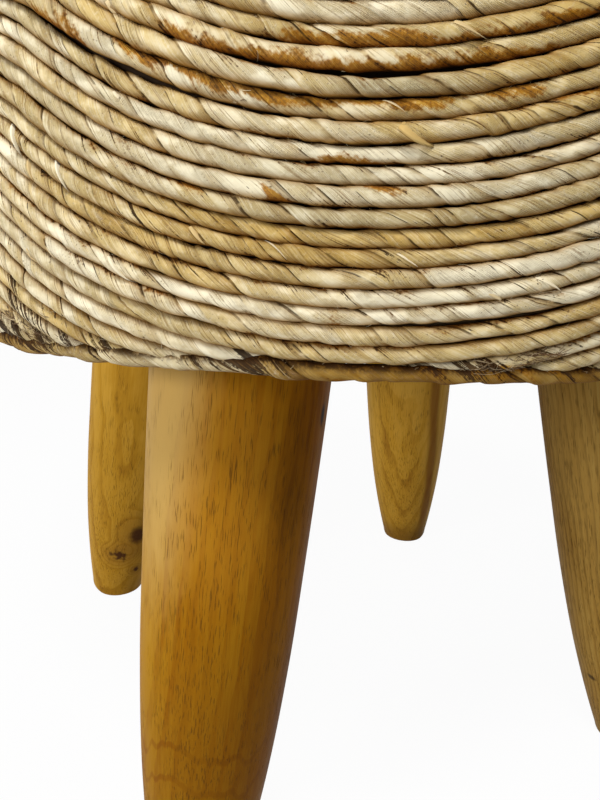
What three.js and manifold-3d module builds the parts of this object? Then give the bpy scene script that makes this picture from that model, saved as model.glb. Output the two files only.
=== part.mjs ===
// Round stool: a rope-wound drum seat on four stout, splayed wooden legs.
// Millimetres, +Z up. The origin is on the floor under the middle of the seat.
// The front of the stool faces -Y.

import * as THREE from 'three';
import { mergeVertices } from 'three/addons/utils/BufferGeometryUtils.js';
import Module from 'manifold-3d';

const wasm = await Module();
wasm.setup();

// Driving dimensions: seat
const seatDiameter = 418;
const seatHeight = 430;
const rimHeight = 241;
const shoulderRadius = 60;
const tuckRadius = 80;
const tuckHeight = 34;

// Driving dimensions: rope
const ropePitch = 5.3;
const ropeWidth = 4.6;
const ropeThickness = 5.5;
const ropeClearance = 0.4;
const topEdgeClearance = 0.8;
const shortestArch = 20;

// Driving dimensions: boards, core and pad inside the seat
const baseBoardThickness = 18;
const baseBoardRecess = 5;
const topBoardThickness = 12;
const padThickness = 63;
const coreClearance = 1;
const seatJointGap = 0.3;

// Driving dimensions: legs
const legFootInset = 27.8;
const legTopInset = 75.6;
const legFootRadius = 18.5;
const legTopRadius = 37;
const legFootRounding = 8;
const legFootOverrun = 3;

// Driving dimensions: leg bolts, washers and nuts
const boltDiameter = 8;
const boltLength = 80;
const boltDepthInLeg = 45;
const boltChamfer = 0.8;
const boltHoleClearance = 0.3;
const washerDiameter = 24;
const washerThickness = 2;
const nutWidth = 13;
const nutHeight = 6.5;
const pocketClearance = 3;
const fastenerGap = 0.3;

// One overrun serves every cut, and a span larger than the stool serves every cutting block.
const cutOverrun = 2;
const cutSpan = seatDiameter;

// Counts
const loopSteps = 24;
const ropeSides = 6;
const windingLoops = 19;
const archTurns = 10;
const squareSides = 4;
const legCount = 4;
const legSides = 24;
const legRings = 9;
const roundingSteps = 3;
const shoulderSteps = 9;
const tuckSteps = 5;
const fastenerSides = 16;
const nutSides = 6;
const cornerRayCount = 24;
const sideRayCount = 24;
const tableSteps = 240;
const gapSamples = 12;

const degree = Math.PI / 180;
const fullTurn = 2 * Math.PI;
const quarterTurn = Math.PI / 2;
const halfSector = Math.PI / 4;
const firstCorner = -116 * degree;

// Section planes of the seat lie half a step off the corners of the rope's squares.
const planeOffset = 0.5 / loopSteps;
const firstPlane = firstCorner + planeOffset * fullTurn;
const shortEndShare = 0.1;

// Colours, roughness and metalness
const finishes = {
  wood: { color: 0xa8702f, roughness: 0.5, metalness: 0 },
  rope: { color: 0xcdb98a, roughness: 0.75, metalness: 0 },
  darkRope: { color: 0x9a7440, roughness: 0.75, metalness: 0 },
  plywood: { color: 0xd2b483, roughness: 0.7, metalness: 0 },
  foam: { color: 0xe8e2d2, roughness: 0.95, metalness: 0 },
  steel: { color: 0xb4b7ba, roughness: 0.35, metalness: 1 },
};

const stool = new THREE.Group();

function addPiece(parent, name, geometry, finish) {
  const mesh = new THREE.Mesh(geometry, new THREE.MeshStandardMaterial(finishes[finish]));
  mesh.name = name;
  parent.add(mesh);
  return mesh;
}

// Solids for cutting and joining
function solidOf(geometry) {
  const bare = geometry.clone();
  bare.deleteAttribute('normal');
  bare.deleteAttribute('uv');
  const merged = mergeVertices(bare);
  return new wasm.Manifold(new wasm.Mesh({
    numProp: 3,
    vertProperties: new Float32Array(merged.attributes.position.array),
    triVerts: new Uint32Array(merged.index.array),
  }));
}

function geometryOf(solid) {
  const mesh = solid.getMesh();
  const geometry = new THREE.BufferGeometry();
  geometry.setAttribute('position', new THREE.BufferAttribute(mesh.vertProperties, mesh.numProp));
  geometry.setIndex(new THREE.BufferAttribute(mesh.triVerts, 1));
  return geometry;
}

// A turned solid about the Z axis from [radius, height] pairs, first side edge at the given azimuth.
function turned(outline, sides, azimuth = 0) {
  const points = outline.map(([radius, height]) => new THREE.Vector2(radius, height));
  const geometry = new THREE.LatheGeometry(points, sides, azimuth + quarterTurn, fullTurn);
  geometry.rotateX(quarterTurn);
  return solidOf(geometry);
}

function upright(radius, low, high, sides = fastenerSides) {
  return turned([[0, low], [radius, low], [radius, high], [0, high]], sides);
}

// Seat surface: the meridian that the rope's centre line lies on, measured by its length s
// from the middle of the top. It runs flat, over the shoulder, down the side and in at the tuck.
const halfRope = ropeThickness / 2;
const sideRadius = seatDiameter / 2 - halfRope;
const topLevel = seatHeight - halfRope;
const shoulderBend = shoulderRadius - halfRope;
const tuckBend = tuckRadius - halfRope;
const flatRadius = sideRadius - shoulderBend;
const shoulderEnd = flatRadius + shoulderBend * quarterTurn;
const tuckLevel = rimHeight + tuckHeight;
const sideEnd = shoulderEnd + (topLevel - shoulderBend - tuckLevel);
const tuckTurn = Math.asin((tuckHeight - halfRope) / tuckBend);
const rimEnd = sideEnd + tuckBend * tuckTurn;

function seatPoint(s, offset = 0) {
  let radius = s;
  let height = topLevel;
  let lean = 0;
  if (s > sideEnd) {
    const turn = (s - sideEnd) / tuckBend;
    radius = sideRadius - tuckBend * (1 - Math.cos(turn));
    height = tuckLevel - tuckBend * Math.sin(turn);
    lean = quarterTurn + turn;
  } else if (s > shoulderEnd) {
    radius = sideRadius;
    height = tuckLevel + (sideEnd - s);
    lean = quarterTurn;
  } else if (s > flatRadius) {
    lean = (s - flatRadius) / shoulderBend;
    radius = flatRadius + shoulderBend * Math.sin(lean);
    height = topLevel - shoulderBend * (1 - Math.cos(lean));
  }
  return {
    radius: radius + offset * Math.sin(lean),
    height: height + offset * Math.cos(lean),
    lean,
  };
}

function seatVector(s, azimuth, offset = 0) {
  const { radius, height } = seatPoint(s, offset);
  return new THREE.Vector3(radius * Math.cos(azimuth), radius * Math.sin(azimuth), height);
}

function seatNormal(s, azimuth) {
  const { lean } = seatPoint(s);
  return new THREE.Vector3(
    Math.sin(lean) * Math.cos(azimuth), Math.sin(lean) * Math.sin(azimuth), Math.cos(lean));
}

// Rope course. The rope starts as nested squares on the flat top, and each later turn lies
// against the one before. Rays that start square to the largest flat square and run on as
// geodesics of the seat carry the turns over the shoulder and down the side. A ray keeps
// its own least radius (Clairaut), which gives its length and azimuth by one integral each.
const squareLevel = flatRadius * Math.cos(halfSector);

function makeRay(leastRadius, levelOffset, direction) {
  const levels = [levelOffset + Math.sqrt(flatRadius ** 2 - leastRadius ** 2)];
  const angles = [direction - Math.asin(leastRadius / flatRadius)];
  const step = (rimEnd - flatRadius) / tableSteps;
  for (let i = 0; i < tableSteps; i++) {
    const { radius } = seatPoint(flatRadius + (i + 0.5) * step);
    const along = Math.sqrt(radius ** 2 - leastRadius ** 2);
    levels.push(levels[i] + step * radius / along);
    angles.push(angles[i] + step * leastRadius / (radius * along));
  }
  return { levels, angles, step };
}

const rays = [];
for (let i = 0; i <= cornerRayCount; i++) {
  const direction = halfSector * i / cornerRayCount;
  const leastRadius = flatRadius * Math.sin(direction);
  rays.push(makeRay(leastRadius, squareLevel - flatRadius * Math.cos(direction), direction));
}
for (let i = 1; i <= sideRayCount; i++) {
  rays.push(makeRay(squareLevel * (1 - i / sideRayCount), 0, halfSector));
}

// Where a ray reaches a level: meridian length s, and azimuth from the sector's corner.
function rayAt({ levels, angles, step }, level) {
  let i = 0;
  while (i < tableSteps - 1 && levels[i + 1] < level) i++;
  const share = (level - levels[i]) / (levels[i + 1] - levels[i]);
  return {
    s: flatRadius + (i + share) * step,
    angle: angles[i] + share * (angles[i + 1] - angles[i]),
  };
}

// Rays may cross near the middle of a sector: the farthest one is the nearest way to the square.
function courseLength(level, fromCorner) {
  const ends = rays.map((ray) => rayAt(ray, level));
  let farthest = 0;
  for (const angle of [fromCorner, quarterTurn - fromCorner]) {
    for (let i = 1; i < ends.length; i++) {
      const [near, far] = [ends[i - 1], ends[i]];
      const share = (angle - near.angle) / (far.angle - near.angle);
      if (share >= 0 && share <= 1) {
        farthest = Math.max(farthest, near.s + share * (far.s - near.s));
      }
    }
  }
  return farthest;
}

// Each turn is one pitch nearer to the top than the turn before it. The rope is cut just above
// the border rope, and the first whole turn starts at a corner of the course on that cut.
const borderRadius = ropeThickness / 2;
const cutLine = rimEnd - borderRadius - ropeWidth / 2 - ropeClearance;
const firstLevel = squareLevel + cutLine - flatRadius;

function cornerOffset(turn) {
  const inSector = THREE.MathUtils.euclideanModulo(turn * fullTurn, quarterTurn);
  return Math.min(inSector, quarterTurn - inSector);
}

// The course on one section plane, counted from the first corner
function coursePoint(plane) {
  const turn = plane / loopSteps + planeOffset;
  const s = courseLength(firstLevel - ropePitch * turn, cornerOffset(turn));
  const azimuth = firstCorner + turn * fullTurn;
  return { turn, s, azimuth, place: seatVector(s, azimuth), normal: seatNormal(s, azimuth) };
}

// The cut end between two planes lies on the seat's flat there, as the turns beside it do.
function cutPoint(near, far, share) {
  return {
    turn: near.turn + share * (far.turn - near.turn),
    place: seatVector(cutLine, near.azimuth).lerp(seatVector(cutLine, far.azimuth), share),
    normal: seatNormal(cutLine, near.azimuth).lerp(seatNormal(cutLine, far.azimuth), share).normalize(),
  };
}

// A rope of six sides along points of the seat surface
function ropeRings(course, closed = false) {
  const last = course.length - 1;
  const flankScale = ropeWidth / 2 / Math.sin(fullTurn / ropeSides);
  return course.map(({ place, normal }, i) => {
    const before = course[i > 0 ? i - 1 : (closed ? last : 0)].place;
    const after = course[i < last ? i + 1 : (closed ? 0 : last)].place;
    const along = after.clone().sub(before).normalize();
    const side = along.clone().cross(normal).normalize();
    const out = side.clone().cross(along).normalize();
    const ring = [];
    for (let k = 0; k < ropeSides; k++) {
      const turn = fullTurn * k / ropeSides;
      ring.push(place.clone()
        .addScaledVector(out, halfRope * Math.cos(turn))
        .addScaledVector(side, flankScale * Math.sin(turn)));
    }
    return ring;
  });
}

// Skin over a row of sections, which all have as many points
function sweptGeometry(rings, closed = false) {
  const positions = rings.flat().flatMap((point) => point.toArray());
  const index = [];
  const count = rings.length;
  const sides = rings[0].length;
  const spans = closed ? count : count - 1;
  for (let i = 0; i < spans; i++) {
    const here = i * sides;
    const next = ((i + 1) % count) * sides;
    for (let k = 0; k < sides; k++) {
      const kNext = (k + 1) % sides;
      index.push(here + k, here + kNext, next + kNext, here + k, next + kNext, next + k);
    }
  }
  if (!closed) {
    const end = (count - 1) * sides;
    for (let k = 1; k < sides - 1; k++) {
      index.push(0, k + 1, k, end, end + k, end + k + 1);
    }
  }
  const geometry = new THREE.BufferGeometry();
  geometry.setAttribute('position', new THREE.Float32BufferAttribute(positions, 3));
  geometry.setIndex(index);
  return geometry;
}

// Least gap between neighbouring turns, from points on one flank to the edges of the next.
function leastGap(rings) {
  const lower = [1, 2];
  const upper = [ropeSides - 1, ropeSides - 2];
  const edge = new THREE.Line3();
  const nearest = new THREE.Vector3();
  let least = Infinity;
  const measure = (point, j, k) => {
    edge.set(rings[j][k], rings[j + 1][k]);
    edge.closestPointToPoint(point, true, nearest);
    least = Math.min(least, nearest.distanceTo(point));
  };
  for (let i = 0; i + loopSteps + 2 < rings.length; i++) {
    for (let n = 0; n < gapSamples; n++) {
      for (const side of [0, 1]) {
        for (const [mine, other] of [[lower, upper], [upper, lower]]) {
          const k = mine[side];
          const point = rings[i][k].clone().lerp(rings[i + 1][k], n / gapSamples);
          for (let j = i + loopSteps - 2; j <= i + loopSteps + 1; j++) {
            measure(point, j, other[side]);
          }
        }
      }
    }
  }
  return least;
}

// The lengths of rope, each where the course stays above the cut at the rim. The last one
// is the winding. A cut end very near to a plane point is left at that point.
function ropeRuns() {
  const runs = [];
  let run = [];
  const firstPlaneBelow = -archTurns * loopSteps;
  let before = coursePoint(firstPlaneBelow);
  for (let plane = firstPlaneBelow + 1; plane <= windingLoops * loopSteps; plane++) {
    const here = coursePoint(plane);
    const starts = before.s >= cutLine && here.s < cutLine;
    const ends = before.s < cutLine && here.s >= cutLine;
    const share = (cutLine - before.s) / (here.s - before.s);
    const runShare = starts ? 1 - share : share;
    if ((starts || ends) && runShare > shortEndShare) run.push(cutPoint(before, here, share));
    if (here.s < cutLine) run.push(here);
    if (ends) {
      runs.push(run);
      run = [];
    }
    before = here;
  }
  return { arches: runs, winding: run };
}

function runLength(course) {
  let length = 0;
  for (let i = 1; i < course.length; i++) length += course[i].place.distanceTo(course[i - 1].place);
  return length;
}

function makeRope() {
  const { arches, winding } = ropeRuns();
  const rings = ropeRings(winding);
  addPiece(stool, 'rope_winding', sweptGeometry(rings), 'rope');
  console.log('least gap of the winding to itself, mm:', leastGap(rings).toFixed(3));

  const sides = ['front', 'right', 'back', 'left'];
  const counts = sides.map(() => 0);
  for (const arch of arches.reverse()) {
    if (runLength(arch) < shortestArch) continue;
    const middle = (arch[0].turn + arch.at(-1).turn) / 2;
    const side = THREE.MathUtils.euclideanModulo(Math.floor(middle * squareSides), squareSides);
    counts[side]++;
    addPiece(stool, `rope_arch_${sides[side]}_${counts[side]}`, sweptGeometry(ropeRings(arch)), 'rope');
  }

  const border = [];
  for (let i = 0; i < loopSteps; i++) {
    const azimuth = firstPlane + fullTurn * i / loopSteps;
    border.push({ place: seatVector(rimEnd, azimuth), normal: seatNormal(rimEnd, azimuth) });
  }
  addPiece(stool, 'rope_border', sweptGeometry(ropeRings(border, true), true), 'darkRope');
}

// The seat's form at an offset from the rope's centre line, from its top down to a level
function seatOutline(offset, low) {
  const stops = [];
  for (let i = 0; i <= shoulderSteps; i++) {
    stops.push(flatRadius + (shoulderEnd - flatRadius) * i / shoulderSteps);
  }
  for (let i = 0; i <= tuckSteps; i++) {
    stops.push(sideEnd + (rimEnd - sideEnd) * i / tuckSteps);
  }
  const points = stops.map((s) => {
    const { radius, height } = seatPoint(s, offset);
    return [radius, height];
  });
  points.reverse();
  const radiusAt = (height) => {
    const i = points.findIndex(([, h], k) => k > 0 && h >= height);
    const [r0, h0] = points[i - 1];
    const [r1, h1] = points[i];
    return r0 + (r1 - r0) * (height - h0) / (h1 - h0);
  };
  return { low: [radiusAt(low), low], points, radiusAt };
}

function seatSlab(offset, low, high = Infinity) {
  const outline = seatOutline(offset, low);
  const top = outline.points.at(-1)[1];
  const inner = outline.points.filter(([, h]) => h > low && h < high);
  const cap = high < top ? [[outline.radiusAt(high), high], [0, high]] : [[0, top]];
  return turned([[0, low], outline.low, ...inner, ...cap], loopSteps, firstPlane);
}

// The top of the rope, over the shoulder to the last turn of the winding, as one plain shell.
// Its edge lies half a pitch over the turn below. The winding ends on the first plane, so the
// edge steps up by a pitch there. A skirt that follows the side all round cuts the edge.
function makeRopeTop() {
  const shell = seatSlab(halfRope, tuckLevel)
    .subtract(seatSlab(-halfRope, tuckLevel - cutOverrun));
  const low = sideEnd + 2 * cutOverrun;
  const sections = [];
  for (let plane = 0; plane < loopSteps; plane++) {
    const turn = plane / loopSteps + planeOffset;
    const azimuth = firstCorner + fullTurn * turn;
    const turnsBelow = windingLoops + turn + (plane === 0 ? 0.5 : -0.5);
    const level = firstLevel - ropePitch * turnsBelow - topEdgeClearance;
    const edge = courseLength(level, cornerOffset(turn));
    const outside = [];
    const inside = [];
    for (let i = 0; i <= shoulderSteps; i++) {
      const s = edge + (low - edge) * i / shoulderSteps;
      outside.push(seatVector(s, azimuth, ropeThickness));
      inside.unshift(seatVector(s, azimuth, -ropeThickness));
    }
    sections.push([...outside, ...inside]);
  }
  const skirt = solidOf(sweptGeometry(sections, true));
  addPiece(stool, 'rope_top', geometryOf(shell.subtract(skirt)), 'rope');
}

// Levels of the stack, from the base board up
const boardLow = rimHeight + baseBoardRecess;
const boardHigh = boardLow + baseBoardThickness;
const padLow = seatHeight - ropeThickness - coreClearance - padThickness;
const topBoardHigh = padLow - seatJointGap;
const topBoardLow = topBoardHigh - topBoardThickness;
const coreOffset = -halfRope - coreClearance;
const coreLow = boardHigh + seatJointGap;
const coreHigh = topBoardLow - seatJointGap;

// Leg axis in one quadrant: from the middle of the foot to the middle of the leg's top
const legHigh = boardLow - seatJointGap;
const diagonal = Math.cos(halfSector);
const footReach = (seatDiameter / 2 - legFootInset) * diagonal;
const legTopReach = (seatDiameter / 2 - legTopInset) * diagonal;
const footCentre = new THREE.Vector3(footReach, footReach, 0);
const legTopCentre = new THREE.Vector3(legTopReach, legTopReach, legHigh);

// Bolt levels: the bolt stands upright in the leg and passes through board, washer and nut.
const boltRadius = boltDiameter / 2;
const boltHoleRadius = boltRadius + boltHoleClearance;
const boltLow = legHigh - boltDepthInLeg;
const boltHigh = boltLow + boltLength;
const washerLow = boardHigh + fastenerGap;
const nutLow = washerLow + washerThickness + fastenerGap;
const nutHigh = nutLow + nutHeight;
const pocketRadius = washerDiameter / 2 + pocketClearance;
const pocketHigh = Math.max(boltHigh, nutHigh) + pocketClearance;

function atEachLeg(solid) {
  const placed = solid.translate([legTopCentre.x, legTopCentre.y, 0]);
  let all = placed;
  for (let k = 1; k < legCount; k++) all = all.add(placed.rotate([0, 0, k * quarterTurn / degree]));
  return all;
}

// Each bolt's pocket goes up through whatever of the filling lies over it.
function makeBoardsAndCore() {
  const boltHoles = atEachLeg(upright(boltHoleRadius, boardLow - cutOverrun, boardHigh + cutOverrun));
  const pockets = atEachLeg(upright(pocketRadius, coreLow - cutOverrun, pocketHigh));
  const layers = [
    ['base_board', 'plywood', seatSlab(coreOffset, boardLow, boardHigh).subtract(boltHoles)],
    ['drum_core', 'foam', seatSlab(coreOffset, coreLow, coreHigh).subtract(pockets)],
    ['top_board', 'plywood', seatSlab(coreOffset, topBoardLow, topBoardHigh).subtract(pockets)],
    ['seat_pad', 'foam', seatSlab(coreOffset, padLow).subtract(pockets)],
  ];
  for (const [name, finish, solid] of layers) addPiece(stool, name, geometryOf(solid), finish);
}

// Leg outline: the radius grows fast near the foot and slowly near the seat.
const legHeightShares = [0, 0.05, 0.2, 0.41, 0.62, 0.83, 1];
const legSwellShares = [0, 0.124, 0.427, 0.686, 0.827, 0.935, 1];

function makeLegSolid() {
  const axis = legTopCentre.clone().sub(footCentre);
  const length = axis.length();
  const swell = new THREE.SplineCurve(legHeightShares.map((share, i) =>
    new THREE.Vector2(share, legSwellShares[i])));
  const outline = [];
  for (let i = 0; i <= roundingSteps; i++) {
    const turn = quarterTurn * i / roundingSteps;
    outline.push([
      legFootRadius - legFootRounding * (1 - Math.sin(turn)),
      -legFootOverrun + legFootRounding * (1 - Math.cos(turn)),
    ]);
  }
  const lowest = outline.at(-1)[1];
  for (let i = 1; i <= legRings; i++) {
    const { x, y } = swell.getPoint(i / legRings);
    const radius = legFootRadius + (legTopRadius - legFootRadius) * y;
    outline.push([radius, lowest + (length - lowest) * x]);
  }
  outline.push([legTopRadius, length + legTopRadius]);
  const closed = [[0, -legFootOverrun], ...outline, [0, length + legTopRadius]];

  const placed = new THREE.Matrix4().compose(
    footCentre,
    new THREE.Quaternion().setFromUnitVectors(new THREE.Vector3(0, 0, 1), axis.normalize()),
    new THREE.Vector3(1, 1, 1));
  const whole = turned(closed, legSides).transform(placed.toArray());

  const below = new THREE.BoxGeometry(cutSpan, cutSpan, cutSpan).translate(0, 0, -cutSpan / 2);
  const above = new THREE.BoxGeometry(cutSpan, cutSpan, cutSpan)
    .translate(0, 0, legHigh + cutSpan / 2);
  const hole = upright(boltHoleRadius, boltLow - fastenerGap, legHigh + cutOverrun)
    .translate([legTopCentre.x, legTopCentre.y, 0]);
  return whole.subtract(solidOf(below)).subtract(solidOf(above)).subtract(hole);
}

function makeBolt() {
  const tip = boltRadius - boltChamfer;
  return turned([
    [0, boltLow], [tip, boltLow], [boltRadius, boltLow + boltChamfer],
    [boltRadius, boltHigh - boltChamfer], [tip, boltHigh], [0, boltHigh],
  ], fastenerSides);
}

function makeWasher() {
  const high = washerLow + washerThickness;
  return upright(washerDiameter / 2, washerLow, high)
    .subtract(upright(boltHoleRadius, washerLow - cutOverrun, high + cutOverrun));
}

function makeNut() {
  const corner = nutWidth / 2 / Math.cos(Math.PI / nutSides);
  return upright(corner, nutLow, nutHigh, nutSides)
    .subtract(upright(boltHoleRadius, nutLow - cutOverrun, nutHigh + cutOverrun));
}

function makeLegs() {
  const leg = geometryOf(makeLegSolid());
  const bolt = geometryOf(makeBolt());
  const washer = geometryOf(makeWasher());
  const nut = geometryOf(makeNut());
  const corners = ['back_right', 'back_left', 'front_left', 'front_right'];
  corners.forEach((corner, k) => {
    const quadrant = new THREE.Group();
    quadrant.rotation.z = k * quarterTurn;
    stool.add(quadrant);
    addPiece(quadrant, `leg_${corner}`, leg, 'wood');
    const fasteners = new THREE.Group();
    fasteners.position.set(legTopCentre.x, legTopCentre.y, 0);
    quadrant.add(fasteners);
    addPiece(fasteners, `hanger_bolt_${corner}`, bolt, 'steel');
    addPiece(fasteners, `washer_${corner}`, washer, 'steel');
    addPiece(fasteners, `nut_${corner}`, nut, 'steel');
  });
}

makeLegs();
makeBoardsAndCore();
makeRope();
makeRopeTop();

export default stool;
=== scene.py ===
# %% [markdown]
# # A rope-wound stool
#
# A drum seat wound all over with twisted leaf rope, on four splayed wooden legs. The packed
# CAD model is the frame: it says where everything is. This file adds what a CAD model leaves
# out, which is the twist, wander and fraying of the rope and the grain of the wood.
# Everything is in metres, with +Z up and the front of the stool towards -Y.

# %% Frame
import math

import bmesh
import bpy
import numpy as np
from mathutils import Matrix, Vector


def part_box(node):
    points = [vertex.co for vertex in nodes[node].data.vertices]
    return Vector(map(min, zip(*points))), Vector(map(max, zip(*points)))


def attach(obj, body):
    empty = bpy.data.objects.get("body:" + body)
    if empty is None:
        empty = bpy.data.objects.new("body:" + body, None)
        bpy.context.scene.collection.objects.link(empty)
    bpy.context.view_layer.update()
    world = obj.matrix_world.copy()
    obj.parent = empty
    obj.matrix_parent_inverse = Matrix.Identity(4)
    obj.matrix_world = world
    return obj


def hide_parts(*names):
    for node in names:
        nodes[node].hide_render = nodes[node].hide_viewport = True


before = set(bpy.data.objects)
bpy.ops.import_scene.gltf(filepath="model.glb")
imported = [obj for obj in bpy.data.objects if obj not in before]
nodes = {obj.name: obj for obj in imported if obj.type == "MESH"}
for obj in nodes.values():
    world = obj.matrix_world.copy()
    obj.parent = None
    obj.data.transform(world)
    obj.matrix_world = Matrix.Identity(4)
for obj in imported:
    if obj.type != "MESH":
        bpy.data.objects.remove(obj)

mm = 0.001
degree = math.pi / 180
full_turn = 2 * math.pi
quarter_turn = math.pi / 2
eighth_turn = math.pi / 4

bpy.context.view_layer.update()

# %% [markdown]
# ## Shader maths in Python
#
# A material is a net of nodes. It could be drawn by hand in the shader editor, or each node
# could be added and linked on lines of its own, but long sums are then hard to read. Here one
# small class, Wire, stands for an output socket, and Python's operators on it add the Math
# nodes. So a mask can be written as 1 - crease * 0.5.

# %% Wires
class Wire:
    """One output socket of a finish. Python's operators on it add Math nodes."""

    def __init__(self, finish, socket):
        self.finish = finish
        self.socket = socket

    def math(self, operation, *others):
        return self.finish.add("Math", {"operation": operation}, [self, *others])

    def __add__(self, other):
        return self.math("ADD", other)

    def __sub__(self, other):
        return self.math("SUBTRACT", other)

    def __mul__(self, other):
        return self.math("MULTIPLY", other)

    def __truediv__(self, other):
        return self.math("DIVIDE", other)

    def __rsub__(self, other):
        return self.finish.add("Math", {"operation": "SUBTRACT"}, [other, self])

    def __rtruediv__(self, other):
        return self.finish.add("Math", {"operation": "DIVIDE"}, [other, self])

    __radd__ = __add__
    __rmul__ = __mul__

    def between(self, low, high):
        """0 below low, 1 above high, and a smooth step from one to the other."""
        return self.finish.add(
            "MapRange", {"interpolation_type": "SMOOTHSTEP"},
            {"Value": self, "From Min": low, "From Max": high})


print("wires ready: + - * / and between")

# %% [markdown]
# A Finish is a material, or the world, that is built from nodes. Every node comes from its
# one method, add: the node's own settings are set first, such as the stops of a colour ramp,
# and then its sockets, by value or by link. The Mix node keeps sockets for numbers, vectors
# and colours side by side under the same names, so those for colours are asked for by place.

# %% Finishes
mix_factor, mix_first, mix_second, mix_result = 0, 6, 7, 2


class Finish:
    """A material, or the world, that is built from nodes."""

    def __init__(self, name, owner=None):
        self.owner = owner or bpy.data.materials.new(name)
        self.owner.use_nodes = True
        self.tree = self.owner.node_tree
        self.tree.nodes.clear()

    def add(self, kind, settings=None, values=None, output=0):
        """A new node of this kind. Gives the wire of one output, or None if it has none."""
        node = self.tree.nodes.new("ShaderNode" + kind)
        for key, value in (settings or {}).items():
            if key == "stops":
                self.set_stops(node.color_ramp, value)
            else:
                setattr(node, key, value)
        pairs = values.items() if isinstance(values, dict) else enumerate(values or [])
        for key, value in pairs:
            self.set_socket(node.inputs[key], value)
        return Wire(self, node.outputs[output]) if len(node.outputs) else None

    def set_stops(self, ramp, stops):
        """Colours at places along a colour ramp."""
        while len(ramp.elements) < len(stops):
            ramp.elements.new(0.5)
        for element, (place, colour) in zip(ramp.elements, stops):
            element.position = place
            element.color = (*colour, 1)

    def set_socket(self, socket, value):
        """Link a wire to a socket, or set its value. Three numbers make a solid colour."""
        if isinstance(value, Wire):
            self.tree.links.new(value.socket, socket)
        elif isinstance(value, tuple) and len(value) == 3 and socket.type == "RGBA":
            socket.default_value = (*value, 1)
        else:
            socket.default_value = value

    def blend(self, factor, first, second, kind="MIX"):
        """first where factor is 0 and second where it is 1, as colours."""
        return self.add("Mix", {"data_type": "RGBA", "blend_type": kind},
                        {mix_factor: factor, mix_first: first, mix_second: second}, mix_result)

    def noise(self, place, scale, detail=2.0):
        """Cloudy values about 0.5, mostly from 0.3 to 0.7."""
        return self.add("TexNoise", {}, {"Vector": place, "Scale": scale, "Detail": detail})

    def place(self, x, y, z=0.0):
        return self.add("CombineXYZ", {}, [x, y, z])

    def parts(self, vector):
        """The X, Y and Z wires of a vector."""
        node = self.add("SeparateXYZ", {}, [vector]).socket.node
        return [Wire(self, socket) for socket in node.outputs]

    def bump(self, height, distance, strength):
        return self.add("Bump", {}, {"Height": height, "Distance": distance, "Strength": strength})

    def surface(self, **values):
        """Close the material with a Principled shader. Gives the finished material."""
        names = {key.replace("_", " ").title().replace("Ior", "IOR"): value
                 for key, value in values.items()}
        self.add("OutputMaterial", {}, {"Surface": self.add("BsdfPrincipled", {}, names)})
        return self.owner


print("finishes ready: add, blend, noise, place, parts, bump and surface")

# %% [markdown]
# ## Camera
#
# The photograph is a close view from above, a little to the left of the front, and it cuts
# off the top of the seat. A camera could be aimed by eye, but then nothing else could be
# compared. So its place, lens and angles were found first, by fitting the legs and the rim to
# their outlines. A camera looks along its own -Z. Euler angles are easily taken in the wrong
# order, so the matrix below is built from the directions that the picture calls right, up and
# towards the viewer.

# %% Camera
image_width, image_height = 600, 800
focal_pixels = 671.2
sensor_width = 36.0
camera_place = Vector((-0.17502, -0.34828, 0.29079))
camera_pitch = 16.794 * degree
camera_yaw = 22.400 * degree
camera_roll = 1.567 * degree


def make_camera():
    data = bpy.data.cameras.new("camera")
    data.sensor_width = sensor_width
    data.lens = focal_pixels / max(image_width, image_height) * sensor_width
    data.clip_start = 10 * mm
    camera = bpy.data.objects.new("camera", data)
    forward = Vector((math.sin(camera_yaw) * math.cos(camera_pitch),
                      math.cos(camera_yaw) * math.cos(camera_pitch), -math.sin(camera_pitch)))
    level_right = Vector((math.cos(camera_yaw), -math.sin(camera_yaw), 0))
    level_up = level_right.cross(forward)
    right = level_right * math.cos(camera_roll) + level_up * math.sin(camera_roll)
    up = level_up * math.cos(camera_roll) - level_right * math.sin(camera_roll)
    axes = Matrix((right, up, -forward)).transposed()
    camera.matrix_world = Matrix.Translation(camera_place) @ axes.to_4x4()
    bpy.context.scene.collection.objects.link(camera)
    bpy.context.scene.camera = camera
    return camera


camera = make_camera()
print("camera: lens", round(camera.data.lens, 1), "mm")

# %% [markdown]
# ## The seat's form
#
# The rope lies on a drum: flat on top, round at the shoulder, straight down the side and
# tucked in a little at the rim. It could be a turned mesh, but the rope only needs to know
# where the drum's skin is. So one function gives its outline, the meridian. A place on it is
# named by its length from the middle of the top, because that is how the rope covers the
# drum: turn by turn.

# %% Seat surface
seat_diameter = 418 * mm
seat_height = 430 * mm
rim_height = 241 * mm
shoulder_radius = 60 * mm
tuck_radius = 80 * mm
tuck_height = 34 * mm
rope_pitch = 5.3 * mm
rope_thickness = 5.5 * mm

half_rope = rope_thickness / 2
side_radius = seat_diameter / 2 - half_rope
top_level = seat_height - half_rope
shoulder_bend = shoulder_radius - half_rope
tuck_bend = tuck_radius - half_rope
flat_radius = side_radius - shoulder_bend
shoulder_end = flat_radius + shoulder_bend * quarter_turn
side_end = shoulder_end + top_level - shoulder_bend - (rim_height + tuck_height)
rim_end = side_end + tuck_bend * math.asin((tuck_height - half_rope) / tuck_bend)


def seat_point(s, offset=0.0):
    """Radius, height and lean of the meridian at length s, some way out from it."""
    over = np.clip((s - flat_radius) / shoulder_bend, 0, quarter_turn)
    under = np.clip((s - side_end) / tuck_bend, 0, None)
    lean = over + under
    radius = (np.minimum(s, flat_radius) + shoulder_bend * np.sin(over)
              - tuck_bend * (1 - np.cos(under)))
    height = (top_level - shoulder_bend * (1 - np.cos(over)) - tuck_bend * np.sin(under)
              - np.clip(s - shoulder_end, 0, side_end - shoulder_end))
    return radius + offset * np.sin(lean), height + offset * np.cos(lean), lean


print("meridian:", round(rim_end / mm, 1), "mm from the middle to the rim")

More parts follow.
